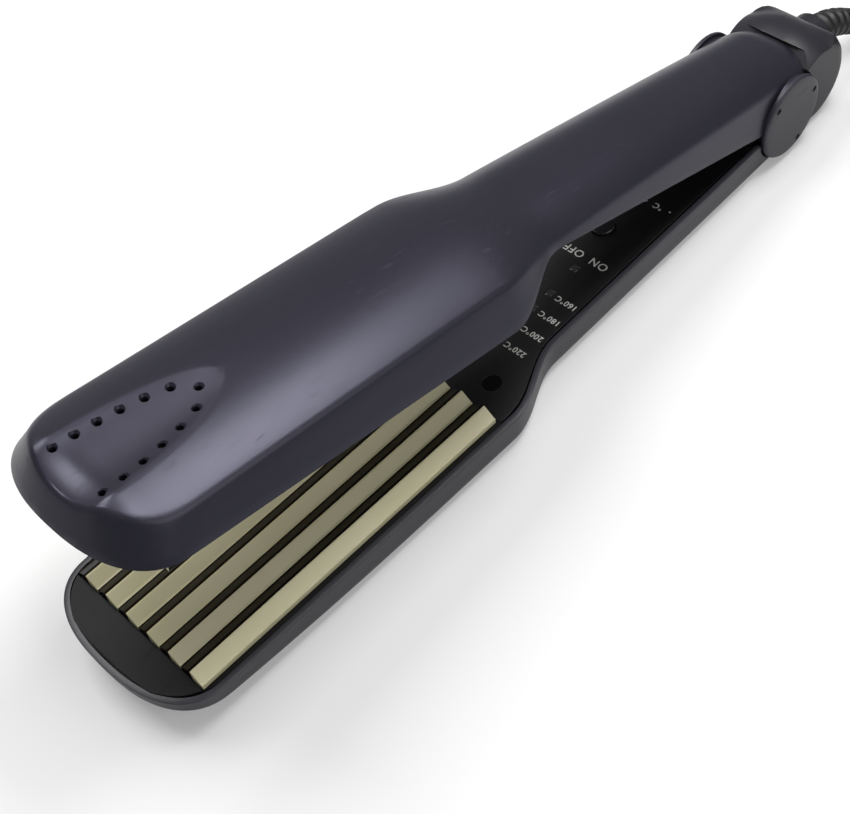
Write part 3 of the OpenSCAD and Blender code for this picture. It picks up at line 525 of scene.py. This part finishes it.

# %% [markdown]
# The plates have a cream ceramic coat. The far flank of each ridge is painted nearly black: this is painted shade,
# and a full metallic value takes its reflection out. The painted flanks follow the ridges' pitch, so one repeating
# ramp across the plate finds them, and a stretched noise streaks both tones lengthwise.

# %% Ceramic coat and painted shade
RIDGES, PITCH, FLANK_AT = 6, 7.5, 0.475


def ceramic(name):
    """The coat: cream on one flank of each ridge, and painted shade, nearly black and without reflection, on the
    other.
    """
    finish = Finish(name, Specular_IOR_Level=0.45)
    across = finish.node("SeparateXYZ", out=1, Vector=finish.place())
    along_ridge = ((across + RIDGES * PITCH / 2 * MM) * (1 / (PITCH * MM))).fraction()
    # Mask of the far flank of each ridge, which gets painted shade.
    painted_shade_flank = along_ridge > FLANK_AT
    cloud = finish.noise(scale=55, detail=3)
    streak = finish.noise(scale=160, detail=4, stretch=(0.06, 1, 1))
    grain = finish.noise(scale=2600, detail=3)
    cream_tone = finish.blend(cloud, srgb("C6C096"), srgb("D6D1B0"))
    cream_tone = finish.blend((streak - 0.45) * 1.2, cream_tone, srgb("C8BCAA"))
    # Painted shade: nearly black and streaked, and fully metallic so that it shows no reflection.
    painted_shade = finish.blend(streak, srgb("060300"), srgb("1A120A"))
    finish.feed(Base_Color=finish.blend(painted_shade_flank, cream_tone, painted_shade), Roughness=0.42 + (grain - 0.5) * 0.2,
                Metallic=painted_shade_flank)
    return finish.bump(grain, strength=0.3, distance=0.00005).material


plate_coat_painted_shade = ceramic("ceramic_coat")
print("ridges:", RIDGES, "pitch:", PITCH, "mm")

# %% [markdown]
# The small metal parts and the pieces inside the arms have finishes of their own, each in the colour that its
# material usually has: grey-brown film, red silicone, white ceramic, green board, bright steel.

# %% Metals and inner parts
def metal(name, colour, roughness, brushed=(0.1, 1, 1)):
    """A brushed metal: `brushed` is how the noise is stretched along each axis."""
    finish = Finish(name, Metallic=1.0)
    brush = finish.noise(scale=1400, detail=4, stretch=brushed)
    base = srgb(colour)
    finish.feed(Base_Color=finish.blend(brush, toned(base, 0.8), toned(base, 1.1)),
                Roughness=roughness + (brush - 0.5) * 0.18)
    return finish.bump(brush, strength=0.15, distance=0.00004).material


spring_steel = metal("spring_steel", "A9AEB3", 0.30)
pin_steel = metal("pin_steel", "C4C7CA", 0.22, (1, 0.1, 1))
screw_black = metal("screw_black", "2C2C30", 0.38)
screw_zinc = metal("screw_zinc", "8E9297", 0.32)
plug_nickel = metal("plug_nickel", "CBCDD0", 0.20)
board_green = moulded("board_green", "1F5C3A", 0.45)
heater_white = moulded("heater_white", "E8E4DA", 0.55, coat=0)
film_amber = moulded("film_amber", "5E574B", 0.35, coat=0.2)
pad_red = moulded("pad_red", "B5432F", 0.60, coat=0)
sleeve_cream = moulded("sleeve_cream", "DED9C8", 0.75, coat=0, grain=1.0)
bead_brown = moulded("bead_brown", "3A2A20", 0.15, coat=0.8)
label_ink = moulded("label_ink", "D8D8D4", 0.55, coat=0, grain=0.2)
print("materials so far:", len(bpy.data.materials))

# %% [markdown]
# ## The two shells
#
# Both arms have the same outline: a round nose, a straight head, S-shaped shoulders and a tapering handle. A box
# with bevelled edges couldn't follow it, so each shell is a bent grid whose rows are sections across the arm.
# The sections stand at stations, which are close together where the outline turns quickly. A line that lies
# inside the outline, such as a wall's inner side, keeps its distance from it and has a rounder nose.

# %% Outline of an arm
NOSE_L, HEAD_W, HANDLE_W, HINGE_W, SCOOP_END = 16, 50.8, 34, 28.8, 46
NOSE_POWER, NOSE_BLEND_L, INNER_LONGER, INNER_BACK = 2.4, 30, 1.1, 0.6


def shoulder_t(d):
    """How far the shoulders have narrowed the arm, from 0 to 1."""
    return ease((d - SHOULDER_AT) / SHOULDER_L)


def grip_t(d):
    """How far along the handle a place is, from 0 to 1."""
    return unit((d - GRIP_AT) / HANDLE_L)


def side(d):
    """Half of the arm's width at a distance from the nose."""
    return mix(mix(HEAD_W, HANDLE_W, shoulder_t(d)), HINGE_W, grip_t(d)) / 2


def spaced(start, stop, count):
    """Even steps from start up to the last one before stop."""
    return [mix(start, stop, k / count) for k in range(count)]


NOSE = [math.radians(a) for a in (0, 2, 5, *range(8, 85, 4))]
ALONG = (spaced(NOSE_L, SCOOP_END, 14) + spaced(SCOOP_END, SHOULDER_AT, 16) + spaced(SHOULDER_AT, GRIP_AT, 24)
         + spaced(GRIP_AT, HINGE_AT, 24) + [HINGE_AT, HINGE_AT + 3])
STATIONS = len(NOSE) + len(ALONG)


def inset(i, depth):
    """The place (d, half width) that lies `depth` inside station i."""
    longer, front = INNER_LONGER * depth, INNER_BACK * depth
    if i < len(NOSE):
        across, down = math.sin(NOSE[i]) ** (2 / NOSE_POWER), 1 - math.cos(NOSE[i]) ** (2 / NOSE_POWER)
        return front + (NOSE_L + longer - front) * down, (HEAD_W / 2 - depth) * across
    d = ALONG[i - len(NOSE)]
    slope = side(d + 0.5) - side(d - 0.5)
    reach = depth / math.hypot(1, slope)
    return d + reach * slope + longer * unit(1 - (d - NOSE_L) / NOSE_BLEND_L), side(d) - reach


print("stations:", STATIONS)

# %% [markdown]
# The lower arm is a tub with upright walls, a rounded bottom edge and a flat bottom that rises towards the nose.
# Each row of its grid goes from one rim down the wall, across the bottom and up the other wall. A point of the
# wall has a depth inside the outline, a height above the bottom (none on the upright part, which runs from the
# rim to the rounded edge) and its share of the way down. The wall's thickness is added inwards, so that the
# outside keeps its size.

# %% Lower shell
WALL, RIM_ROUND, RIM_CORNER = 1.5, 0.3, 60
LOWER_RIM, EDGE_R, DRAFT, NOSE_LIFT, LIFT_L = 12, 4.5, 0.6, 4.8, 85
WALL_ROWS, EDGE_ROWS, BOTTOM_ROWS = 4, 8, 12
LOWER_WALL = [(DRAFT * k / WALL_ROWS, None, k / WALL_ROWS) for k in range(WALL_ROWS)]
for a in [math.radians(90 * k / EDGE_ROWS) for k in range(EDGE_ROWS + 1)]:
    LOWER_WALL.append((DRAFT + EDGE_R * (1 - math.cos(a)), EDGE_R * (1 - math.sin(a)), 1))
LOWER_COLUMNS = 2 * len(LOWER_WALL) + BOTTOM_ROWS - 1


def lower_point(i, k):
    """Point k of section i: both halves run down the wall and then towards the middle of the bottom."""
    last = LOWER_COLUMNS - 1
    left, j = k <= last / 2, min(k, last - k)
    lift = NOSE_LIFT * max(0, 1 - inset(i, 0)[0] / LIFT_L) ** 2
    depth, above, down = LOWER_WALL[min(j, len(LOWER_WALL) - 1)]
    x, y = inset(i, depth)
    z = mix(LOWER_RIM, lift + EDGE_R, down) if above is None else lift + above
    y *= 1 - max(0, j - len(LOWER_WALL) + 1) / (BOTTOM_ROWS / 2)
    return spot(x, -y if left else y, z)


def walled(shell):
    """Gives a shell its wall and rounds the wall's edges."""
    modified(shell, "SOLIDIFY", thickness=WALL * MM, offset=-1)
    bevelled(shell, RIM_ROUND, RIM_CORNER, segments=3)


lower_shell = bent_grid("lower_tub", STATIONS, LOWER_COLUMNS, lower_point)
walled(lower_shell)
print("lower shell:", STATIONS, "sections of", LOWER_COLUMNS, "points")

# %% [markdown]
# A drum is cut out of the tub's rear end, so that the round ends of the upper arm can turn there, and two
# round holes for the tail screws are sunk into its bottom. A boolean does both with one cutter.

# %% Hinge clearance and screw holes
DRUM_R, DRUM_W = 12.9, 60
SCREWS_AT, SCREW_R, SCREW_Z, SCREW_DEPTH = (HINGE_AT - 26, HINGE_AT - 18), 2.6, 1, 4
ACROSS, UPRIGHT = Matrix.Rotation(math.pi / 2, 4, "X"), Matrix.Identity(4)


def disc(mesh, centre, radius, depth, turn, sides=96, second=None):
    """A cylinder, or a cone where its other end has a `second` radius."""
    bmesh.ops.create_cone(mesh, cap_ends=True, segments=sides, radius1=radius * MM,
                          radius2=(radius if second is None else second) * MM, depth=depth * MM,
                          matrix=Matrix.Translation(centre) @ turn)


lower_cutter = bmesh.new()
disc(lower_cutter, spot(HINGE_AT, 0, HINGE_Z), DRUM_R, DRUM_W, ACROSS)
for d in SCREWS_AT:
    disc(lower_cutter, spot(d, 0, SCREW_Z), SCREW_R, SCREW_DEPTH, UPRIGHT, sides=32)
cut(lower_shell, lower_cutter)
placed(lower_shell, "lower_arm", "lower_shell", "lower_shell")

# %% [markdown]
# The upper arm is a crowned cover. Its sides lean in to a clear crease, and the top bulges between the two
# creases. At the nose a shallow spoon-shaped scoop is pressed into the top. Each of these heights is a plain
# rule of the distance from the nose, so that a change at one end doesn't disturb the other.

# %% Heights of the upper shell
UPPER_RIM, NOSE_CROWN, CREASE_IN = 18.1, 4.8, (4.2, 0.8)
BEVEL_H, BEVEL_AT, BEVEL_L = (7.6, 10.6), 11.5, 95
CREASE_Z, APEX_Z, FALL_POWER = (26.9, 25.2), (32.0, 31.2), 1.6
CROWN_POWER, CROWN_FULLER = 2, 0.8
ARCH_H, ARCH_L, EDGE_FALL, CHEEK_Z, CHEEK_L = 7.1, 19, 0.125, HINGE_Z + 4, 11.4
SCOOP_AT, SCOOP_L, SCOOP_HW, SCOOP_DEPTH = 3.5, 42, 10.6, 3.0
NOSE_DROP, DROP_AT, DROP_L = 2, 3, 6


def bevel_z(d):
    """The height at which the head's leaning side ends."""
    return UPPER_RIM + mix(*BEVEL_H, unit((d - BEVEL_AT) / BEVEL_L))


def crease_z(d):
    return mix(bevel_z(d), mix(*CREASE_Z, grip_t(d) ** FALL_POWER), shoulder_t(d))


def apex_z(d):
    return mix(bevel_z(d) + NOSE_CROWN, mix(*APEX_Z, grip_t(d) ** FALL_POWER), shoulder_t(d))


def crease_in(d):
    """How far the crease lies inside the outline."""
    return mix(*CREASE_IN, shoulder_t(d))


def edge_z(d):
    """The rim: it arches up behind the shoulders, falls slowly and ends as the cheek round the hinge."""
    arch = UPPER_RIM + ARCH_H * ease((d - SHOULDER_AT) / ARCH_L) - EDGE_FALL * max(0, d - (SHOULDER_AT + ARCH_L))
    return mix(arch, CHEEK_Z, unit((d - HINGE_AT + CHEEK_L) / CHEEK_L))


def scoop_run(d):
    """Grows from 0 at the front of the scoop to 1 at its end."""
    return (max(0, d - SCOOP_AT) / SCOOP_L) ** 2


def top_z(d, y):
    """The skin's height: the crown between the creases, less the scoop and the nose's drop."""
    fullness = CROWN_POWER + CROWN_FULLER * shoulder_t(d)
    crown = (apex_z(d) - crease_z(d)) * (1 - abs(y / (side(d) - crease_in(d))) ** fullness)
    scoop = SCOOP_DEPTH * max(0, 1 - scoop_run(d) - (y / SCOOP_HW) ** 2)
    return crease_z(d) + crown - scoop - NOSE_DROP * unit(1 - (d - DROP_AT) / DROP_L) ** 2


print("crown at the shoulders:", round(apex_z(SHOULDER_AT), 1), "mm")

# %% [markdown]
# One half of a section runs from the rim up to the crease and over to the middle. A small rounding is worked
# into the crease, since moulded plastic never has a knife edge. Two points stand close together at the scoop's
# lip, which keeps the lip clear.

# %% Sections of the upper shell
CREASE_R, LIP_SOFT, LIP_MOST, RAKE, RAKE_L = 1.1, 0.3, 0.7, 0.1, 25
WALL_STEPS, CREASE_STEPS, OUTER_STEPS, SCOOP_STEPS = 4, 4, 9, 8


def raked(d, y, z):
    """Leans the nose back a little."""
    return d + RAKE * (z - UPPER_RIM) * max(0, 1 - d / RAKE_L), y, z


def upper_section(i):
    """One half of a section: points from the rim to the middle."""
    d, y = inset(i, 0)
    rim = Vector(raked(d, y, edge_z(d)))
    x, y = inset(i, crease_in(d))
    crease = Vector(raked(x, y, top_z(x, y)))
    x, y = inset(i, crease_in(d) + CREASE_R)
    brow = Vector(raked(x, y, top_z(x, y)))
    foot = crease + (rim - crease).normalized() * CREASE_R
    points = [rim.lerp(foot, k / WALL_STEPS) for k in range(WALL_STEPS)]
    for t in [k / CREASE_STEPS for k in range(CREASE_STEPS)]:
        points.append(foot * (1 - t) ** 2 + crease * 2 * t * (1 - t) + brow * t * t)
    half = SCOOP_HW * math.sqrt(max(0, 1 - scoop_run(x)))
    lip = min(max(LIP_SOFT, half), LIP_MOST * y)
    soft = min(LIP_SOFT, lip / 3)
    across = ([mix(y, lip + soft, k / OUTER_STEPS) for k in range(OUTER_STEPS)] + [lip + soft]
              + [mix(lip - soft, 0, k / SCOOP_STEPS) for k in range(SCOOP_STEPS + 1)])
    return points + [Vector(raked(x, w, top_z(x, w))) for w in across]


print("points of half a section:", len(upper_section(0)))

# %% [markdown]
# The section at the hinge is swept round the pin, which closes the rear end with a part of a drum. The other half
# of each section mirrors the first, and the whole cover is turned open about the pin as its points are placed.

# %% Upper shell
REAR_TURN, REAR_STEPS = math.radians(33.1), 14
sections = [upper_section(i) for i in range(STATIONS - 1)]
at_hinge = sections[-1]
for turn in [REAR_TURN * k / REAR_STEPS for k in range(1, REAR_STEPS + 1)]:
    sections.append([Vector((HINGE_AT + (q.z - HINGE_Z) * math.sin(turn), q.y,
                             HINGE_Z + (q.z - HINGE_Z) * math.cos(turn))) for q in at_hinge])
MIDDLE = len(at_hinge) - 1


def upper_point(i, k):
    """Point k of section i, with the arm opened."""
    point = sections[i][min(k, 2 * MIDDLE - k)]
    return opened(point.x, -point.y if k <= MIDDLE else point.y, point.z)


upper_shell = bent_grid("upper_cover", len(sections), 2 * MIDDLE + 1, upper_point)
walled(upper_shell)
print("upper shell:", len(sections), "sections of", 2 * MIDDLE + 1, "points")

# %% [markdown]
# Thirteen vents follow the scoop's edge. They go straight down and have a countersunk mouth that catches the
# light, so they are cut twice, with cylinders and then with cones. The seats of the hinge caps are cut together
# with the cylinders. The two ears that carry the hinge pin hang down inside the rear end.

# %% Vents, cap seats and ears
VENT_AT, VENT_STEP, VENT_HW, VENT_L, LAST_VENT_AT = 7.6, 5.5, 8.2, 36.5, 39.2
SEAT_Y, SEAT_R, SEAT_DEPTH = 18.5, 12.55, 8
EAR_Y, EAR_R, EAR_T, EAR_ROUND = 13.05, 11.5, 2.9, 0.25
vents = [(LAST_VENT_AT, 0)]
for d in [VENT_AT + VENT_STEP * k for k in range(6)]:
    vents += [(d, s * VENT_HW * math.sqrt(1 - ((d - SCOOP_AT) / VENT_L) ** 2)) for s in (-1, 1)]
tilt = Matrix.Rotation(OPEN, 4, "Y")


def drilled(cutter, below, radius, depth, second=None):
    """Adds a cylinder or a cone at each vent, with its middle a little below the skin."""
    for d, y in vents:
        top = top_z(d, y)
        disc(cutter, opened(raked(d, y, top)[0], y, top - below), radius, depth, tilt, 32, second)


upper_cutter, mouths, ears = bmesh.new(), bmesh.new(), bmesh.new()
drilled(upper_cutter, below=1, radius=0.85, depth=5)
drilled(mouths, below=0.15, radius=0.70, depth=0.9, second=1.40)
for s in (-1, 1):
    disc(upper_cutter, spot(HINGE_AT, s * SEAT_Y, HINGE_Z), SEAT_R, SEAT_DEPTH, ACROSS)
    disc(ears, spot(HINGE_AT, s * EAR_Y, HINGE_Z), EAR_R, EAR_T, ACROSS)
cut(upper_shell, upper_cutter)
cut(upper_shell, mouths)
placed(upper_shell, "upper_arm", "upper_shell", "upper_shell")
bmesh.ops.bevel(ears, geom=ears.edges, offset=EAR_ROUND * MM, segments=2, profile=0.5, affect="EDGES", material=-1)
placed(finished("hinge_ears", ears), "upper_arm", "upper_shell")
print("vents:", len(vents))

# %% [markdown]
# ## Pieces that keep their CAD shape
#
# The plates, frames, covers, caps, buttons, lamps and the tail already have their true shape in the CAD model.
# Moulded edges are never perfectly sharp, though, so each of these is copied, its loose triangles are merged
# into whole faces, and its edges get a fine bevel that catches the light. The plates come first, with a very
# fine bevel, because their ridges have to mesh.

# %% Softened copies of CAD pieces
EDGE, CORNER = 0.2, 30


def softened(node, name, body, slot, radius=EDGE, corner=CORNER):
    """A copy of a CAD node whose edges have a fine bevel."""
    mesh = bmesh.new()
    mesh.from_mesh(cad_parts[node].data)
    bmesh.ops.remove_doubles(mesh, verts=mesh.verts, dist=1e-6)
    bmesh.ops.dissolve_limit(mesh, angle_limit=math.radians(0.5), verts=mesh.verts, edges=mesh.edges)
    bmesh.ops.recalc_face_normals(mesh, faces=mesh.faces)
    piece = finished(name, mesh, corner)
    if radius:
        rounded(piece, radius, corner)
    return placed(piece, body, slot, node)


softened("lower_plate", "lower_ridges", "lower_arm", "ceramic_plate", 0.05, 15)
softened("upper_plate", "upper_ridges", "upper_arm", "ceramic_plate", 0.05, 15)

# %% [markdown]
# The two bezels that hold the plates fill the shells' mouths. The shells' noses are rounder here than in the
# CAD model, so each bezel is cut to the inside of its shell. The cutter is a tall prism of the shell's own
# outline, which keeps an even gap all round.

# %% Bezels
BEZEL_GAP, PRISM_Z, PRISM_H = 0.12, -2, 40


def raised(mesh, rise):
    """Extrudes a flat sheet into a closed block."""
    top = bmesh.ops.extrude_face_region(mesh, geom=mesh.faces)["geom"]
    bmesh.ops.translate(mesh, verts=[part for part in top if isinstance(part, bmesh.types.BMVert)], vec=rise)


def trimmed(piece, place):
    """Keeps what lies inside the shell and bevels the new edges."""
    half = [inset(i, WALL + BEZEL_GAP) for i in range(STATIONS - 2)]
    prism = bmesh.new()
    bmesh.ops.create_circle(prism, cap_ends=True, segments=2 * len(half), radius=1)
    corners = sorted(prism.verts, key=lambda vert: math.atan2(vert.co.y, vert.co.x))
    for vert, (x, y) in zip(corners, [(x, -y) for x, y in half[::-1]] + half):
        vert.co = place(x, y, PRISM_Z)
    bmesh.ops.remove_doubles(prism, verts=prism.verts, dist=2e-6)
    raised(prism, place(0, 0, PRISM_H) - place(0, 0, 0))
    bmesh.ops.recalc_face_normals(prism, faces=prism.faces)
    cut(piece, prism, "INTERSECT", CORNER)
    rounded(piece, EDGE, CORNER)
    print(piece.name, "trimmed, faces:", len(piece.data.polygons))


trimmed(softened("lower_plate_frame", "lower_bezel", "lower_arm", "frame_black", 0), spot)
trimmed(softened("upper_plate_frame", "upper_bezel", "upper_arm", "frame_black", 0), opened)

# %% [markdown]
# The flat covers that close the handles and the round caps over the hinge pin are thin mouldings, so their
# edges are a little sharper than the usual.

# %% Covers and caps
softened("lower_inner_cover", "control_panel", "lower_arm", "panel_black", 0.12)
softened("upper_inner_cover", "upper_panel", "upper_arm", "panel_black", 0.12)
softened("hinge_cap_left", "near_hinge_disc", "upper_arm", "hinge_cap", 0.12)
softened("hinge_cap_right", "far_hinge_disc", "upper_arm", "hinge_cap", 0.12)

# %% [markdown]
# The tail's top is domed from side to side as well, so that it flows between the two caps. The copy of the CAD
# piece is shaved with a curved band that is deepest at the two sides and fades out before the cord's collar.
# The band is a flat block of squares that is bent round the tail's own axis.

# %% Domed tail
TAIL_AT, TAIL_R, TAIL_HW = HINGE_AT + 15.3, 14.3, 13.4
DOME_DEPTH, DOME_POWER, CLEAR = 3.6, 2.2, 0.12
BAND_FROM, BAND_TO, FADE_IN, FADE_OUT = -64, 50, 16, 30
BAND_STEPS, BAND_ACROSS, BAND_HW, BAND_R = 24, 20, TAIL_HW + 0.6, TAIL_R + 6


def band_point(i, k, outside):
    """A point of the band, i steps round the axis and k steps across, on its inner or its outer side."""
    turn = mix(BAND_FROM, BAND_TO, i / BAND_STEPS)
    y = mix(-BAND_HW, BAND_HW, k / BAND_ACROSS)
    fade = ease((turn - BAND_FROM) / FADE_IN) * ease((BAND_TO - turn) / FADE_OUT)
    inner = TAIL_R + CLEAR - (DOME_DEPTH + CLEAR) * fade * abs(y / TAIL_HW) ** DOME_POWER
    radius, angle = BAND_R if outside else inner, math.radians(turn)
    return spot(TAIL_AT + radius * math.sin(angle), y, TAIL_R + radius * math.cos(angle))


dome_cutter = bmesh.new()
bmesh.ops.create_grid(dome_cutter, x_segments=BAND_STEPS, y_segments=BAND_ACROSS, size=0.5)
raised(dome_cutter, (0, 0, 1))
for vert in dome_cutter.verts:
    x, y, z = vert.co
    vert.co = band_point(round((x + 0.5) * BAND_STEPS), round((y + 0.5) * BAND_ACROSS), z > 0.5)
bmesh.ops.recalc_face_normals(dome_cutter, faces=dome_cutter.faces)
tail = softened("tail_housing", "tail_knuckle", "lower_arm", "tail", 0)
cut(tail, dome_cutter)
rounded(tail, EDGE, CORNER)
print("tail faces:", len(tail.data.polygons))

# %% [markdown]
# A finger presses the two buttons, so their edges are the roundest. Each button rides on a body of its own.

# %% Buttons and lamp windows
softened("power_button", "power_key_cap", "power_key", "button", 0.3)
softened("temperature_button", "temperature_key_cap", "temperature_key", "button", 0.3)
softened("lamp_lenses", "lamp_windows", "lower_arm", "lamp_lens", 0.15)

# %% [markdown]
# ## The printed scale
#
# Four temperatures stand beside their lamps on the black panel, with the switch's words in front of its button.
# They read from the handle's other end, so the letters' tops point to the nose. Text is turned into a thin mesh
# that lies on the panel like print.

# %% Printed marks
PANEL_Z, INK_T, INK_SPREAD, INK_GAP, LETTER_GAP = 11.7, 0.006, 0.03, 0.012, 1.1
HOTTEST, COOLER, SCALE_AT, SCALE_STEP = 220, 20, 126.9, 6.6


def printed(name, words, d, y, height):
    """Words on the panel, with their middle at (d, y)."""
    text = bpy.data.curves.new(name, "FONT")
    text.body, text.size, text.align_x, text.align_y = words, height * MM, "CENTER", "CENTER"
    text.extrude, text.offset, text.space_character = INK_T * MM, INK_SPREAD * MM, LETTER_GAP
    letters = linked(name, text)
    data = evaluated(letters)
    bpy.data.objects.remove(letters)
    data.transform(Matrix.Translation(spot(d, y, PANEL_Z + INK_GAP)) @ Matrix.Rotation(math.pi / 2, 4, "Z"))
    return placed(linked(name, data), "lower_arm", "lamp_lens")


marks = []
for k in range(4):
    degrees = HOTTEST - COOLER * k
    marks.append(printed(f"scale_{degrees}", f"{degrees}°C", SCALE_AT + SCALE_STEP * k, -10.4, 2.45))
marks.append(printed("switch_words", "ON  OFF", 162.3, -3.8, 3.4))
marks.append(printed("temperature_sign", "-  °C  +", 188.5, -6.6, 2.6))
print("marks:", len(marks))

# %% [markdown]
# ## Dressing the pieces
#
# Every piece gets its finish here, the new ones and the CAD pieces inside the arms alike. One list keeps the
# whole choice in view, which is easier to check than a finish set in each step.

# %% Finishes on pieces
for finish, names in (
        (arm_top, ("upper_cover", "hinge_ears")), (arm_bottom, ("lower_tub",)), (tail_plastic, ("tail_knuckle",)),
        (cap_plastic, ("near_hinge_disc", "far_hinge_disc")), (frame_plastic, ("lower_bezel", "upper_bezel")),
        (cover_plastic, ("control_panel", "upper_panel")), (plate_coat_painted_shade, ("lower_ridges", "upper_ridges")),
        (key_plastic, ("power_key_cap", "temperature_key_cap")), (lens_plastic, ("lamp_windows",)),
        (label_ink, [mark.name for mark in marks]), (heater_white, ("lower_heater", "upper_heater")),
        (film_amber, ("lower_insulator", "upper_insulator")), (pad_red, ("lower_plate_pads", "upper_plate_pads")),
        (spring_steel, ("lower_heater_clip", "upper_heater_clip", "opening_spring")),
        (sleeve_cream, ("lower_thermal_fuse", "upper_thermal_fuse")), (bead_brown, ("temperature_sensor",)),
        (board_green, ("circuit_board",)), (pin_steel, ("hinge_pin",)), (washer_plastic, ("hinge_washers",)),
        (screw_black, ("lower_screws", "upper_screws")), (screw_zinc, ("tail_screws",)),
        (cord_rubber, ("mains_lead", "ribbed_strain_relief")), (plug_rubber, ("moulded_plug",)),
        (plug_nickel, ("plug_pins",))):
    for name in names:
        data = bpy.data.objects[name].data
        data.materials.clear()
        data.materials.append(finish)
print("materials in all:", len(bpy.data.materials))

# %% [markdown]
# ## The table and the lights
#
# The crimper lies on a plain table. It is a light grey in all the light that falls on the object, and it glows
# a little to the camera and in reflections, so that the background is clean while the shadow stays.

# %% Table
def grey(level):
    return level, level, level, 1


table_mesh = bmesh.new()
bmesh.ops.create_grid(table_mesh, x_segments=1, y_segments=1, size=8)
table = finished("table", table_mesh)
pale = Finish("pale_table", Roughness=0.9, Base_Color=grey(0.60), Emission_Strength=1.0)
mirrored = pale.node("LightPath", out="Is Glossy Ray") + pale.node("LightPath", out="Is Transmission Ray")
seen = (pale.node("LightPath", out="Is Camera Ray") + mirrored * 0.3).clipped()
pale.feed(Emission_Color=pale.blend(seen, grey(0), grey(0.24)))
table.data.materials.append(pale.material)
print("table at z = 0")

# %% [markdown]
# One large soft lamp stands on the far side and throws the shadow towards the viewer. Two small ones, behind the
# hinge and above the head, draw the long highlight on the crown. A weak one and a grey room, which looks white
# to the camera, fill the near side.

# %% Lights
world = bpy.data.worlds.new("white_room")
bpy.context.scene.world = world
world.use_nodes = True
room = NodeTree(world.node_tree)
room_colour = room.blend(room.node("LightPath", out="Is Camera Ray"), grey(0.22), grey(1))
room.tree.links.new(room_colour.socket, room.tree.nodes["Background"].inputs["Color"])


def soft_lamp(name, place, target, size, power):
    """A rectangular lamp at a place, in metres, that shines towards its target."""
    lamp = bpy.data.lights.new(name, "AREA")
    lamp.shape = "RECTANGLE"
    lamp.size, lamp.size_y, lamp.energy = size[0], size[1], power
    holder = linked(name, lamp)
    holder.location = place
    holder.visible_camera = False
    holder.rotation_euler = (Vector(target) - Vector(place)).to_track_quat("-Z", "Y").to_euler()
    return holder


lamps = [soft_lamp("far_softbox", (-0.06, 0.62, 0.98), (0, 0, 0), (0.6, 0.6), 9.2),
         soft_lamp("rear_softbox", (0.20, -0.03, 0.52), (-0.08, -0.012, 0.05), (0.24, 0.16), 1.6),
         soft_lamp("top_softbox", (0.05, -0.10, 0.60), (-0.10, -0.012, 0.05), (0.2, 0.2), 0.8),
         soft_lamp("near_fill", (0.20, -0.90, 0.70), (-0.05, 0, 0.02), (0.8, 0.5), 2.4)]
print("lamps:", len(lamps))

# %% [markdown]
# The Standard view shows colours about as they are written.

# %% View transform
bpy.context.scene.view_settings.view_transform = "Standard"
